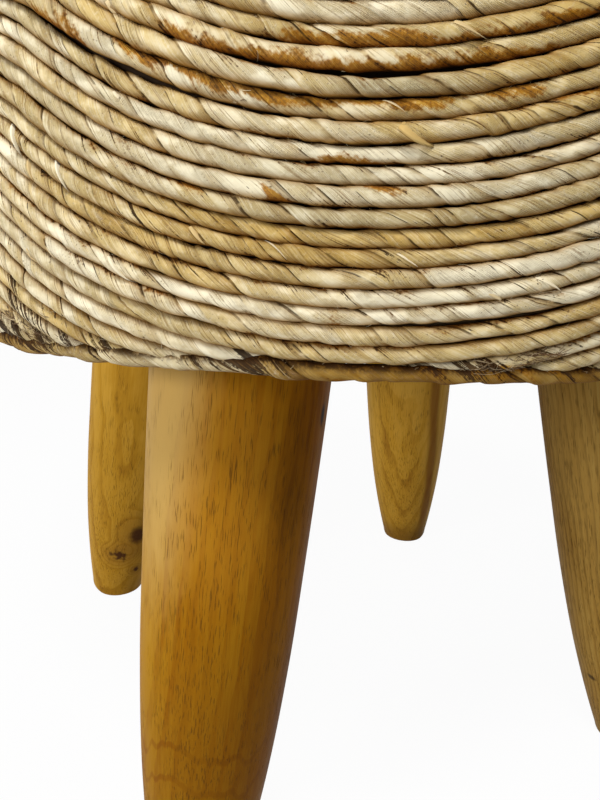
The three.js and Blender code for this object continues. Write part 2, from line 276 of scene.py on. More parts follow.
# %% [markdown]
# ## The rope's course
#
# On the real seat the turns rise and fall in long waves, four to the round. A spiral could be
# bent by hand until it looks so. It is simpler to do what the winder does. The winding starts
# as nested squares on the top, and each turn lies against the one before, so on the side the
# turns sag below the squares' corners and rise between them. A turn is then the line at one
# distance, its level, from the first square. Lines of equal distance are found by walking
# straight out from the square. On the flat that is plain geometry. Over the shoulder a
# straight walk becomes a geodesic, and each one keeps its own least radius, so its length and
# angle come from two running sums.

# %% Walks out from the square
first_corner = -116 * degree
corner_rays = 64
side_rays = 64
ray_steps = 400
square_level = flat_radius * math.cos(eighth_turn)
corner_radius = rope_pitch


def walk_out(least_radius, start_level, direction):
    """Level and angle along one geodesic, at each step of the meridian."""
    step = (rim_end + rope_pitch - flat_radius) / ray_steps
    middle = flat_radius + step * (np.arange(ray_steps) + 0.5)
    radius = seat_point(middle)[0]
    along = np.sqrt(radius ** 2 - least_radius ** 2)
    level = start_level + np.append(0, np.cumsum(step * radius / along))
    angle = (direction - math.asin(least_radius / flat_radius)
             + np.append(0, np.cumsum(step * least_radius / (radius * along))))
    return level, angle


def make_rays():
    rays = []
    for i in range(corner_rays + 1):
        direction = eighth_turn * i / corner_rays
        rays.append(walk_out(flat_radius * math.sin(direction), square_level, direction))
    for i in range(1, side_rays + 1):
        least = square_level * (1 - i / side_rays)
        rays.append(walk_out(least, math.sqrt(flat_radius ** 2 - least ** 2), eighth_turn))
    return rays


rays = make_rays()
ray_s = flat_radius + (rim_end + rope_pitch - flat_radius) * np.arange(ray_steps + 1) / ray_steps

print("walks:", len(rays), "of", ray_steps, "steps")

# %% [markdown]
# The walks leave between the middle of one side of the square and its corner, and from the
# corner in all directions. An eighth of the round is enough, because the square looks the
# same from each side and in a mirror. Where two walks reach the same place, the shorter one
# counts, so the course is the farthest place that any walk of its length reaches.

# %% Course of a turn
near_zero = 1e-12


def course_length(level, turn):
    """Meridian length of the course at a level and turn, both arrays."""
    in_sector = np.mod(turn * full_turn, quarter_turn)
    corner = np.minimum(in_sector, quarter_turn - in_sector)
    reached = np.stack([np.interp(level, ray[0], ray_s) for ray in rays], axis=1)
    angles = np.stack([np.interp(level, ray[0], ray[1]) for ray in rays], axis=1)
    farthest = np.zeros(len(level))
    for angle in (corner, quarter_turn - corner):
        width = np.diff(angles, axis=1)
        share = (angle[:, None] - angles[:, :-1]) / np.where(np.abs(width) < near_zero, 1, width)
        at = reached[:, :-1] + share * np.diff(reached, axis=1)
        farthest = np.maximum(farthest, np.where((share >= 0) & (share <= 1), at, 0).max(axis=1))

    straight = level / np.cos(eighth_turn - corner)
    bend = np.clip(level, 0, corner_radius)
    centre = (level - bend) * math.sqrt(2)
    reach = np.sqrt(np.clip(bend ** 2 - (centre * np.sin(corner)) ** 2, 0, None))
    rounded = centre * np.cos(corner) + reach
    at_corner = corner < eighth_turn - np.arctan2(level - bend, level)
    on_flat = np.where(at_corner, rounded, straight)
    flat = (level <= square_level + corner_radius) | (straight <= flat_radius)
    return np.where(flat, on_flat, farthest)


corner_reach = course_length(np.array([square_level]), np.array([0.0]))[0]
print("the last whole square on the flat reaches", round(float(corner_reach) / mm, 1), "mm")

# %% [markdown]
# ## How hand-wound rope wanders
#
# Twisted leaf is never even. It swells and thins along its length, and no two turns lie the
# same. Noise from a texture would do for the colour, but the shape has to be known in Python,
# so it comes from a line of random values with smooth steps between them. The random numbers
# start from a fixed seed, which gives the same rope on every run.

# %% Random drift
seed = 41
rng = np.random.default_rng(seed)


def drift(places, spacing, spread):
    """Smooth random values along a line, about plus or minus spread, with a knot every spacing."""
    at = (places - places.min()) / spacing
    knot = at.astype(int)
    knots = rng.normal(0, spread, knot.max() + 2)
    share = at - knot
    share = share * share * (3 - 2 * share)
    return knots[knot] * (1 - share) + knots[knot + 1] * share


print("random numbers from seed", seed)

# %% [markdown]
# If every turn only got noise of its own, some turns would cut through each other and others
# would gape. On the real seat each turn is pushed against the one below, so a thick stretch
# shifts all the turns above it a little. The turns are packed in that way here: the next
# level is the last one less both half thicknesses and a gap. A slow pull back to the even
# pitch keeps the pattern from drifting away.

# %% Packing of the turns
arch_turns = 9
turn_samples = 720
turns_left_open = 0.7
first_level = square_level + (rim_end - half_rope - rope_pitch / 2) - flat_radius
whole_turns = first_level / rope_pitch - turns_left_open
side_run = full_turn * side_radius

swells = ((22 * mm, 0.13 * mm), (60 * mm, 0.22 * mm), (260 * mm, 0.24 * mm))
least_gap, widest_gap = 0.05 * mm, 1.8 * mm
gap_run, gap_spread, gap_closed = 60 * mm, 0.8 * mm, 0.6 * mm
pressed_together = 0.12 * mm
shift_kept = 0.82
smoothed_samples = 31
lift_run, lift_spread, lift_with_swell = 80 * mm, 0.42 * mm, 0.3


def pack_turns():
    """Turn, level, thickness and lift of the rope, at even steps of the turn."""
    rows = int(arch_turns + whole_turns + 1)
    turn = np.arange(rows * turn_samples) / turn_samples - arch_turns
    along = turn * side_run
    swell = sum(drift(along, spacing, spread) for spacing, spread in swells)
    gap = least_gap + np.clip(drift(along, gap_run, gap_spread) - gap_closed, 0, widest_gap)
    thick = swell + rope_pitch + pressed_together - gap.mean()
    previous = np.roll(thick, turn_samples)
    extra = ((thick + previous) / 2 + gap - rope_pitch).reshape(rows, turn_samples)
    shift = np.zeros_like(extra)
    for row in range(1, rows):
        shift[row] = shift_kept * shift[row - 1] - extra[row]
    window = np.hanning(smoothed_samples)
    padded = np.pad(shift.ravel(), smoothed_samples // 2, mode="edge")
    shift = np.convolve(padded, window / window.sum(), "valid")
    lift = drift(along, lift_run, lift_spread) + lift_with_swell * swell
    return turn, first_level - rope_pitch * turn + shift, thick, lift


packed_turn, packed_level, packed_thick, packed_lift = pack_turns()
print("thickness:", round(packed_thick.min() / mm, 2), "to", round(packed_thick.max() / mm, 2), "mm")

# %% [markdown]
# Now the rope's centre line is laid out. Points at even lengths are wanted, because the folds
# of the twist are modelled along the length. So the course is first measured with many points
# at even angles, and then sampled again at even lengths. Each of those points gets a ring of
# the rope's mesh.

# %% Centre line of the rope
ring_spacing = 1.35 * mm
measuring_step = 1 / 1000


def on_seat(azimuth, s, offset):
    """Points some way out from the seat's skin, and the outward direction at each."""
    radius, height, lean = seat_point(s, offset)
    points = np.stack([radius * np.cos(azimuth), radius * np.sin(azimuth), height], axis=1)
    normals = np.stack([np.sin(lean) * np.cos(azimuth), np.sin(lean) * np.sin(azimuth),
                        np.cos(lean)], axis=1)
    return points, normals


def lay_out(turn):
    """Where the rope's centre lies at these turns: points, normals and meridian length."""
    s = course_length(np.interp(turn, packed_turn, packed_level), turn)
    lift = np.interp(turn, packed_turn, packed_lift)
    points, normals = on_seat(first_corner + turn * full_turn, s, lift)
    return points, normals, s


def even_turns():
    """Turns at even lengths of rope, and the length at each."""
    turn = np.arange(-arch_turns, whole_turns, measuring_step)
    points = lay_out(turn)[0]
    length = np.append(0, np.cumsum(np.linalg.norm(np.diff(points, axis=0), axis=1)))
    even = np.arange(0, length[-1], ring_spacing)
    return np.interp(even, length, turn), even


rope_turn, rope_along = even_turns()
print("rope:", round(rope_along[-1], 1), "m,", len(rope_turn), "rings")

# %% [markdown]
# The real rim isn't level. It hangs lowest at the front left, and the rope above it follows.
# A lattice could bend the finished meshes, but then the folds would stretch with them. So the
# centre line itself is lowered. The values of rim_sag say by how many millimetres the rim
# hangs at some bearings, in degrees from +X towards +Y. Where the turns are spread apart by
# the sag the rope is a little thicker, and close to the rim it is pressed flat and dives
# behind the rope that runs along the rim.

# %% Sag and tuck at the rim
rim_sag = {0: 0.3, 40: 1.1, 80: 0.4, 120: 1.4, 160: 1.0, 190: 4.0, 208: 5.6, 216: 4.2, 222: 2.9,
           234: 1.3, 246: 0.8, 255: 1.3, 263: 2.1, 280: 1.6, 310: 0.4, 335: 1.2}
sag_reach = 90 * mm
sag_thickening = 0.9
cut_line = rim_end - half_rope - rope_pitch / 2
tuck_depth = 2.1 * mm
tuck_squeeze = 0.35


def sagged(points, s):
    """The points lowered with the rim, and how far that spreads the turns."""
    azimuth = np.degrees(np.arctan2(points[:, 1], points[:, 0]))
    drop = np.interp(azimuth, list(rim_sag), list(rim_sag.values()), period=360) * mm
    share = np.clip((s - rim_end + sag_reach) / sag_reach, 0, 1)
    lowered = points.copy()
    lowered[:, 2] -= drop * share ** 2
    return lowered, 2 * drop * share / sag_reach


def tuck_in(points, normals, s, thick):
    """The points and thickness of the rope, pressed in near the rim."""
    tucked = np.clip((s - cut_line) / (rim_end - cut_line), 0, 1)[:, None]
    lowered, spread = sagged(points - normals * tucked * tuck_depth, s)
    return lowered, thick * (1 - tuck_squeeze * tucked[:, 0]) * (1 + sag_thickening * spread)


rope_points, rope_normals, rope_s = lay_out(rope_turn)
rope_points, rope_thick = tuck_in(
    rope_points, rope_normals, rope_s, np.interp(rope_turn, packed_turn, packed_thick))
print("lowest centre line:", round(rope_points[:, 2].min() / mm, 1), "mm")

# %% [markdown]
# ## The folds of a twisted leaf
#
# Each strand is one bundle of dry leaf, twisted on itself. The leaf's folds run round it as a
# slanting line every centimetre or so. Bump alone would give their shading, but the rope's
# edge against the dark slits would stay smooth, so they are in the mesh too. A fold
# coordinate counts them: it is a whole number at each fold, and grows evenly between two. The
# mesh swells between folds by it, and the material reads the same number, so that its dark
# crease, which is painted shade, falls exactly in the groove. The columns of the mesh lie
# closer together on the outside of the rope, where they are seen.

# %% Folds along the rope
lay_length = 21 * mm
shortest_fold, longest_fold = 4 * mm, 20 * mm
enough_folds = int(rope_along[-1] / (8 * mm))
fold_places = np.cumsum(rng.uniform(shortest_fold, longest_fold, enough_folds))
fold_swell = rng.uniform(0.05 * mm, 0.48 * mm, enough_folds + 1)
fold_step = rng.uniform(0.02 * mm, 0.36 * mm, enough_folds + 1)
fold_peak = 0.62

column_angles = np.array([-160, -124, -94, -69, -46, -23, 0, 23, 46, 69, 94, 124, 160]) * degree
around_shares = (np.append(column_angles, column_angles[0] + full_turn) - column_angles[0]) / full_turn
outward_share = float(-column_angles[0] / full_turn)

twist_spacing = 14 * mm
lay_spread = 0.14
slip_spread = 0.3 * mm
twist_places = np.arange(0, rope_along[-1] + 2 * lay_length, twist_spacing)
twist_lays = lay_length * (1 + rng.normal(0, lay_spread, len(twist_places)))
twist_slips = rng.normal(0, slip_spread, len(twist_places))


def slant_at(along, around):
    """The length at which the fibre through this place crosses the seam. The lay varies."""
    lay = np.interp(along, twist_places, twist_lays)
    slip = np.interp(along + around * lay_length, twist_places, twist_slips)
    return along + (1 - around) * lay + slip


def fold_count(along, around):
    """The fold coordinate at a length and a share of the way round."""
    return np.interp(slant_at(along, around), fold_places, np.arange(len(fold_places)))


def fold_relief(along, around):
    """How far the skin stands out there. A fold swells, and steps down to the next one."""
    count = fold_count(along, around)
    number = np.floor(count).astype(int)
    share = count - number
    swell = fold_swell[number] * np.sin(np.pi * share ** fold_peak)
    return swell + fold_step[number] * (0.5 - share)


print("folds:", len(fold_places))

# %% [markdown]
# Leaf changes colour along its length, and a new leaf is spliced in every few hands. Random
# colours in the material would ignore the splices. So five values follow the rope and go with
# its mesh: its tone from pale to golden, how grey it is, where it is stained amber, where it
# is a dusky brown, and where painted shade darkens it at the slits near the rim, and the lean,
# which says on which edge of the rope the stains and that shade lie (0 on one, 1 on the other).

# %% Tones along the rope
splice_blur = 9


def leaf_values(along, shortest, longest):
    """One random value from 0 to 1 for each spliced leaf, softened at the splices."""
    splices = np.cumsum(rng.uniform(shortest, longest, int(along[-1] / shortest) + 2))
    values = rng.uniform(0, 1, len(splices) + 1)
    raw = values[np.searchsorted(splices, along)]
    window = np.ones(splice_blur) / splice_blur
    return np.convolve(np.pad(raw, splice_blur // 2, mode="edge"), window, "valid")


leaf_tone = leaf_values(rope_along, shortest=0.16, longest=0.7)
leaf_grey = leaf_values(rope_along, shortest=0.16, longest=0.6)
rope_values = {
    "tone": 0.05 + 0.45 * leaf_tone + drift(rope_along, 45 * mm, 0.1),
    "grey": leaf_grey * 0.8 + drift(rope_along, 70 * mm, 0.15) - 0.3,
    "amber": drift(rope_along, 24 * mm, 0.35) + drift(rope_along, 160 * mm, 0.35) - 0.6,
    "dusk": drift(rope_along, 12 * mm, 0.35) - 0.95,
    "lean": 0.5 + drift(rope_along, 40 * mm, 1.5),
}
print("rope values:", {key: round(float(value.mean()), 2) for key, value in rope_values.items()})

# %% [markdown]
# The photograph's own stains are put back one by one. They could be painted on an image, but
# marks on the rope's values move with it and stay sharp. Each mark holds a point of the
# picture in pixels, half the length of the stain in millimetres, and the value in its middle.
# The ring of rope that shows nearest to that point is the middle. The marks of one value are
# laid one over the other, so their order matters.

# %% Stains seen in the photograph
stain_marks = {
    "amber": [((181, 18), 5, 0.7), ((248, 37), 7, 0.6), ((310, 36), 13, 0.68), ((352, 38), 15, 0.8),
              ((398, 38), 13, 0.68), ((565, 14), 16, 0.65), ((160, 31), 5, 0.65), ((196, 40), 7, 0.75),
              ((262, 56), 16, 0.68), ((330, 66), 18, 0.78), ((400, 70), 18, 0.78), ((450, 66), 12, 0.6),
              ((510, 57), 16, 0.62), ((145, 62), 9, 0.75), ((190, 74), 10, 0.6), ((232, 86), 10, 0.65),
              ((282, 97), 12, 0.85), ((345, 102), 12, 0.55), ((420, 101), 16, 0.7), ((525, 86), 14, 0.65),
              ((325, 157), 12, 0.75), ((394, 189), 7, 0.6), ((268, 200), 3, 1.2), ((330, 322), 8, 0.5),
              ((500, 366), 10, 0.8), ((62, 30), 8, 0.7), ((285, 330), 20, 0.1),
              ((205, 310), 30, 0.15), ((410, 338), 24, 0.15)],
    "lean": [((180, 18), 20, 1.0), ((300, 35), 36, 1.0), ((400, 38), 36, 1.0), ((565, 14), 30, 1.0),
             ((196, 40), 26, 1.0), ((300, 62), 36, 1.0), ((400, 70), 36, 1.0), ((510, 57), 36, 1.0),
             ((145, 62), 16, 0.0), ((200, 76), 20, 0.0), ((282, 97), 30, 0.0), ((420, 101), 36, 0.0),
             ((525, 86), 30, 0.0), ((325, 157), 20, 1.0), ((394, 189), 14, 0.0), ((141, 217), 6, 0.5),
             ((402, 262), 6, 0.5), ((38, 339), 8, 1.0), ((62, 342), 8, 1.0), ((111, 347), 8, 1.0),
             ((256, 358), 10, 1.0), ((470, 366), 20, 1.0), ((500, 365), 20, 1.0)],
    # Several dusk marks near the rim, with lean marks that turn them to one edge, paint shade into the
    # slits at the rim rope.
    "dusk": [((141, 217), 2.0, 0.85), ((402, 262), 1.4, 0.9), ((336, 262), 0.8, 0.7),
             ((186, 58), 1.0, 0.6), ((20, 318), 9, 0.5), ((40, 334), 9, 0.5), ((12, 338), 8, 0.55),
             ((95, 345), 5, 0.45), ((300, 90), 90, 0.0), ((300, 110), 60, 0.0), ((7, 292), 2.5, 0.8),
             ((14, 303), 3, 0.6), ((4, 328), 5, 0.8), ((20, 333), 5, 0.75), ((38, 339), 4, 0.9),
             ((62, 342), 3.5, 0.9), ((111, 347), 3, 0.9), ((256, 358), 5, 0.95), ((470, 366), 6, 0.7),
             ((500, 365), 9, 0.6), ((548, 356), 6, 0.5)],
    "tone": [((300, 243), 60, 0.7), ((300, 265), 60, 0.75), ((500, 228), 50, 0.7),
             ((180, 245), 40, 0.7), ((405, 132), 5, 1.1), ((395, 43), 6, 1.0),
             ((270, 190), 40, 0.0), ((110, 100), 40, 0.05), ((500, 300), 40, 0.1),
             ((250, 150), 35, 0.05), ((420, 28), 40, 0.15), ((300, 120), 30, 0.3),
             ((570, 6), 36, 0.75), ((565, 22), 30, 0.7), ((565, 42), 30, 0.55), ((565, 60), 34, 0.7),
             ((570, 78), 30, 0.55), ((570, 96), 30, 0.6)],
    "grey": [((400, 86), 24, 1.0), ((330, 215), 45, 0.8), ((300, 170), 40, 0.6), ((130, 190), 40, 0.7),
             ((300, 243), 60, 0.0), ((300, 265), 60, 0.0), ((405, 132), 8, 0.0)],
}
print("marks:", {key: len(marks) for key, marks in stain_marks.items()})

# %% [markdown]
# To find the ring of a mark, every ring is carried into the picture as the camera would do
# it: turned into the camera's own directions, and divided by its depth. Only rings whose skin
# faces the camera count.

# %% From the picture to the rope
def in_picture(points, normals):
    """Where the rope's skin at each ring falls in the picture. It is nan where it faces away."""
    skin = points + normals * half_rope
    from_camera = skin - np.array(camera_place)
    local = from_camera @ np.array(camera.matrix_world.to_3x3())
    seen = ((from_camera * normals).sum(axis=1) < 0) & (local[:, 2] < 0)
    depth = np.where(seen, -local[:, 2], np.nan)
    return np.stack([image_width / 2 + focal_pixels * local[:, 0] / depth,
                     image_height / 2 - focal_pixels * local[:, 1] / depth], axis=1)


def nearest_ring(pixel, points, normals):
    """The ring of a rope that shows nearest to a point of the picture."""
    return np.nanargmin(((in_picture(points, normals) - np.array(pixel)) ** 2).sum(axis=1))


def near_mark(mark, points, normals, along):
    """1 at the ring in the middle of a mark, falling to 0 beyond half its length."""
    pixel, half_length, _ = mark
    away = along - along[nearest_ring(pixel, points, normals)]
    return np.exp(-(away / (half_length * mm)) ** 2)


print("rings that face the camera:", int(np.isfinite(in_picture(rope_points, rope_normals)[:, 0]).sum()))

# %% Marks on the rope
strongest_value = 1.4
painted_rim_shade = 0.3
painted_rim_shade_reach = 6 * mm


def place_marks(values, marks, points, normals, along):
    """The values along a rope, drawn towards the marks of each."""
    for key, places in marks.items():
        for mark in places:
            weight = near_mark(mark, points, normals, along)
            values[key] = values[key] * (1 - weight) + mark[-1] * weight
    return {key: np.clip(value, 0, strongest_value) for key, value in values.items()}


rope_values = place_marks(rope_values, stain_marks, rope_points, rope_normals, rope_along)
# Painted shade: the rope darkens over its last millimetres before the rim, where it dives into the slit
# under the rim rope.
rope_values["dusk"] += painted_rim_shade * np.clip((rope_s - rim_end + painted_rim_shade_reach) / painted_rim_shade_reach, 0, 1)
print("means:", {key: round(float(value.mean()), 2) for key, value in rope_values.items()})

# %% [markdown]
# In some places a dark slit opens between two turns, because the rope is thin there. These
# marks are placed in the same way, and their last number is how many millimetres are missing.

# %% Thin places
thin_marks = [((340, 163), 14, 0.9), ((345, 213), 18, 0.8), ((250, 52), 10, 0.7),
              ((470, 215), 14, 0.6), ((200, 258), 10, 0.6), ((390, 85), 14, 0.5),
              ((480, 330), 12, 0.7), ((130, 70), 10, 0.7), ((550, 323), 11, 0.9)]
for mark in thin_marks:
    missing = mark[-1] * mm * near_mark(mark, rope_points, rope_normals, rope_along)
    rope_thick = rope_thick - missing
print("thinnest:", round(rope_thick.min() / mm, 2), "mm")

# %% [markdown]
# ## From numbers to a mesh
#
# A mesh can be made face by face, or from lists with from_pydata, but both are slow for a
# million faces. Blender also takes whole arrays at once, and that way is used here. Each
# group of faces is an array of corner numbers, with one row for a face. Maps belong to
# corners, so a map may jump where the rope's seam runs along its hidden side. The map named
# OFBake is the bake map.

# %% Mesh from arrays
def mesh_object(name, points, groups, maps=None, values=None, smooth=True):
    """A mesh object of faces, given as arrays with one row of corners for each face."""
    mesh = bpy.data.meshes.new(name)
    corners = np.concatenate([group.ravel() for group in groups]).astype(np.int32)
    counts = np.concatenate([np.full(len(group), group.shape[1]) for group in groups])
    mesh.vertices.add(len(points))
    mesh.vertices.foreach_set("co", np.asarray(points, np.float32).ravel())
    mesh.loops.add(len(corners))
    mesh.loops.foreach_set("vertex_index", corners)
    mesh.polygons.add(len(counts))
    starts = np.append(0, np.cumsum(counts)[:-1]).astype(np.int32)
    mesh.polygons.foreach_set("loop_start", starts)
    mesh.polygons.foreach_set("use_smooth", np.full(len(counts), smooth))
    for key, uv in (maps or {}).items():
        mesh.uv_layers.new(name=key).data.foreach_set("uv", np.asarray(uv, np.float32).ravel())
    for key, value in (values or {}).items():
        kind, field = ("FLOAT", "value") if value.ndim == 1 else ("FLOAT_VECTOR", "vector")
        attribute = mesh.attributes.new(key, kind, "POINT")
        attribute.data.foreach_set(field, np.asarray(value, np.float32).ravel())
    mesh.update()
    mesh.validate()
    piece = bpy.data.objects.new(name, mesh)
    bpy.context.scene.collection.objects.link(piece)
    return piece


def tube_faces(rings, columns, base, closed=False):
    """Corner numbers of the skin over a row of rings, and the ring and column of each corner."""
    spans = rings if closed else rings - 1
    i = np.repeat(np.arange(spans), columns)
    k = np.tile(np.arange(columns), spans)
    ring = np.stack([i, i, i + 1, i + 1], axis=1)
    column = np.stack([k, k + 1, k + 1, k], axis=1)
    return base + (ring % rings) * columns + column % columns, ring, column


print("mesh helpers ready")

# %% [markdown]
# ## The rope's skin
#
# A curve with a bevel would give a smooth hose. The real rope is a row of swollen folds, so
# each ring of the mesh gets its own radii: half the thickness there, the relief of the folds,
# and small random lumps.

# %% Rings of the rope
mean_relief = 0.17 * mm
lump_spread = 0.1 * mm
lump_window = 9


def frames_along(points, normals, closed=False):
    """Outward and sideways directions at each ring, square to the rope."""
    if closed:
        along = np.roll(points, -1, axis=0) - np.roll(points, 1, axis=0)
    else:
        along = np.gradient(points, axis=0)
    along /= np.linalg.norm(along, axis=1, keepdims=True)
    side = np.cross(along, normals)
    side /= np.linalg.norm(side, axis=1, keepdims=True)
    return np.cross(side, along), side


def lumps(rings):
    """Small bumps over the skin of the rope, smooth over a few rings and columns."""
    raw = rng.normal(0, 1, (rings, len(column_angles)))
    raw = raw + np.roll(raw, 1, axis=1)
    window = np.hanning(lump_window)
    smooth = np.apply_along_axis(lambda line: np.convolve(line, window, "same"), 0, raw)
    return smooth / smooth.std() * lump_spread


def rope_rings(stretch, relief_scale, closed):
    """Points of each ring, swollen between the folds."""
    points, along = stretch["points"], stretch["along"]
    out, side = frames_along(points, stretch["normals"], closed)
    relief = fold_relief(along[:, None], around_shares[None, :-1]) - mean_relief
    radius = stretch["thick"][:, None] / 2 + relief * relief_scale + lumps(len(points))
    rings = (points[:, None] + radius[..., None] * (
        np.cos(column_angles)[None, :, None] * out[:, None]
        + np.sin(column_angles)[None, :, None] * side[:, None]))
    return rings.reshape(-1, 3)


print("columns round the rope:", len(column_angles))

# %% [markdown]
# The skin carries three maps. Two of them are read by the material: the course (length along
# the rope and share of the way round) and the folds (fold coordinate and slant). The third is
# the bake map. A rope laid out straight in it would be a hair-thin strip, so it is laid in
# rows, like the lines of a page, and the small round end caps stand above the rows.

# %% Maps of the rope
bake_rows_top = 0.97
bake_gap = 2 / 1024
least_cap_cells = 33
cap_share = 0.4
mean_girth = math.pi * rope_pitch


def skin_maps(stretch, ring, column):
    """The course and the folds at each corner of the skin."""
    step = np.append(stretch["along"], stretch["along"][-1] + ring_spacing)
    along, around = step[ring], around_shares[column]
    start = stretch["along"][0]
    number = fold_count(along, around) - math.floor(fold_count(start, 0))
    return (np.stack([along - start, around], axis=-1),
            np.stack([number, slant_at(along, around) - start], axis=-1))


def skin_values(stretch):
    """The leaf's values at each point of the skin. They change along its slanting fibres."""
    leaf_place = (slant_at(stretch["along"][:, None], around_shares[None, :-1])
                  - (1 - outward_share) * lay_length)
    return {key: np.interp(leaf_place, stretch["along"], value).ravel()
            for key, value in stretch["values"].items()}


def page_map(spans):
    """The bake map of the skin, from the ring and the share of the way round at each corner."""
    total = spans[..., 0].max()
    rows = max(1, round(math.sqrt(bake_rows_top * total * ring_spacing / mean_girth)))
    per_row = math.ceil(total / rows)
    row = (spans[:, :1, 0] // per_row).clip(0, rows - 1)
    u = (spans[..., 0] - row * per_row) / per_row
    v = (row + spans[..., 1] * (1 - bake_gap * rows)) / rows * bake_rows_top
    return np.stack([u, v], axis=-1).reshape(-1, 2)


def cap_maps(count):
    """The three maps of the end caps, of which every other one faces back."""
    circle = np.stack([np.cos(column_angles), np.sin(column_angles)], axis=1) * cap_share + 0.5
    cell = 1 / max(count, least_cap_cells)
    size = np.array([cell, 1 - bake_rows_top])
    for i in range(count):
        turned = circle[::-1] if i % 2 == 0 else circle
        yield np.array([i * cell, bake_rows_top]) + turned * size, turned * mm, np.zeros_like(turned)


print("a row of the bake map stands for", round(mean_girth / mm, 1), "mm of girth")

# %% [markdown]
# ## The rope as pieces
#
# One mesh of the whole rope would be too heavy to handle, and hundreds of single turns would
# be a nuisance to whoever opens the file. So it is cut into bands, each one unbroken length
# from the rim towards the middle of the top. A function takes lengths of rope, here called
# stretches, and joins their skins, caps and maps into one piece.

# %% A piece of rope
def rope_piece(name, stretches, relief_scale=1.0, closed=False):
    """One piece from lengths of rope. A stretch holds points, normals, along, thick and values."""
    columns = len(column_angles)
    points, quads, caps, course, folds, spans = [], [], [], [], [], []
    values = {key: [] for key in stretches[0]["values"]}
    base = 0
    rings_before = 0
    for stretch in stretches:
        rings = len(stretch["points"])
        points.append(rope_rings(stretch, relief_scale, closed))
        corners, ring, column = tube_faces(rings, columns, base, closed)
        quads.append(corners)
        spans.append(np.stack([ring + rings_before, around_shares[column]], axis=-1))
        for store, found in zip((course, folds), skin_maps(stretch, ring, column)):
            store.append(found.reshape(-1, 2))
        for key, value in skin_values(stretch).items():
            values[key].append(value)
        if not closed:
            first = base + np.arange(columns)
            caps += [first[::-1], first + (rings - 1) * columns]
        base += rings * columns
        rings_before += len(corners) // columns

    page = [page_map(np.concatenate(spans))]
    for on_page, on_course, on_folds in cap_maps(len(caps)):
        page.append(on_page)
        course.append(on_course)
        folds.append(on_folds)
    groups = [np.concatenate(quads), np.array(caps)] if caps else [np.concatenate(quads)]
    maps = {"OFBake": page, "course": course, "folds": folds}
    piece = mesh_object(name, np.concatenate(points), groups,
                        {key: np.concatenate(value) for key, value in maps.items()},
                        {key: np.concatenate(value) for key, value in values.items()})
    print(name, len(groups[0]) * 2, "triangles,", round(rings_before * ring_spacing, 2), "m")
    return piece


def stretch_of(low, high):
    """The rope between two ring numbers."""
    cut = slice(low, high)
    return {"points": rope_points[cut], "normals": rope_normals[cut], "along": rope_along[cut],
            "thick": rope_thick[cut],
            "values": {key: value[cut] for key, value in rope_values.items()}}

# %% [markdown]
# Near the rim the turns still rise and fall, but the rim is level, so they run off it and are
# cut there. The course is laid out well past the rim, and the lengths that lie above the cut
# are kept. The last of them is the long one, which winds up the side and over the top. The
# short ones become one piece for each side of the seat.

# %% Cutting the rope at the rim
band_count = 9
shortest_length = 25 * mm
cut_clearance = 0.8 * mm
sides = ["front", "right", "back", "left"]


def rope_runs():
    """First and last ring of each length of rope that lies above the cut."""
    above = np.append(np.append(False, rope_s < rim_end - cut_clearance), False)
    starts = np.flatnonzero(~above[:-1] & above[1:])
    ends = np.flatnonzero(above[:-1] & ~above[1:])
    return [(low, high) for low, high in zip(starts, ends)
            if (high - low) * ring_spacing > shortest_length]


runs = rope_runs()
winding_first = runs[-1][0]
band_edges = np.linspace(winding_first, len(rope_turn) - 1, band_count + 1).astype(int)
bands = [rope_piece(f"rope_band_{i + 1}", [stretch_of(low, high + 1)])
         for i, (low, high) in enumerate(zip(band_edges[:-1], band_edges[1:]))]

side_runs = {side: [] for side in sides}
for low, high in runs[:-1]:
    middle = rope_turn[(low + high) // 2]
    side = sides[math.floor(middle * len(sides)) % len(sides)]
    side_runs[side].append(stretch_of(low, high))
arches = {side: rope_piece(f"rope_arches_{side}", lengths) for side, lengths in side_runs.items()}
print("lengths cut at the rim:", len(runs) - 1)

# %% [markdown]
# ## The look of the rope
#
# Dry leaf is matt, and fine fibres run along it, so on the rope they slant like the folds. A
# photograph wrapped round the rope would show its seams and never fit the folds. So all of it
# is drawn from noise in the rope's own coordinates: the length along it and the share of the
# way round. The slant coordinate is the same all along a fibre, so noise that is stretched
# along it makes fibres. Each of these wires is used more than once, so they are kept together
# under plain names: patch, speck and strips are clouds from large to small, fibres and ribs
# are fine lines, and groups say where dark fibres gather.

# %% Grain of the leaf
from types import SimpleNamespace

rib_width = 0.62 * mm


def leaf_grain(finish):
    """The wires that the rope's colours are made of."""
    along, around, _ = finish.parts(finish.add("UVMap", {"uv_map": "course"}))
    count, slant, _ = finish.parts(finish.add("UVMap", {"uv_map": "folds"}))
    number = count.math("FLOOR")
    patch = finish.noise(finish.place(along / (8 * mm), around * 3.5), 1.0, 3.0)
    strips = finish.noise(finish.place(slant / (2.2 * mm), around * 1.1, number * 0.6), 1.0, 2.0)
    ribs = (slant * (full_turn / rib_width) + strips * 9).math("SINE") * 0.5 + 0.5
    values = {key: finish.add("Attribute", {"attribute_name": key}, output="Fac")
              for key in rope_values}
    return SimpleNamespace(
        along=along, around=around, share=count - number, patch=patch, strips=strips,
        leaf=finish.add("TexWhiteNoise", {"noise_dimensions": "1D"}, {"W": number}),
        speck=finish.noise(finish.place(along / (1.1 * mm), around * 13), 1.0, 2.0),
        fibres=finish.noise(finish.place(slant / (0.5 * mm), around * 1.2, number), 1.0, 1.5),
        groups=finish.noise(finish.place(slant / (6 * mm), around * 3, number * 3), 1.0, 1.0),
        ribs=ribs * patch.between(0.38, 0.55), **values)


print("values read from the mesh:", list(rope_values))

# %% [markdown]
# The colour is laid on in the order in which a real leaf gets it. First comes the leaf
# itself, from straw to gold, with old grey leaves among it. The ribs are a little darker,
# pale fibres and bleached specks lie on fresh leaf, and each layer is blended over the one
# before by a mask from 0 to 1.

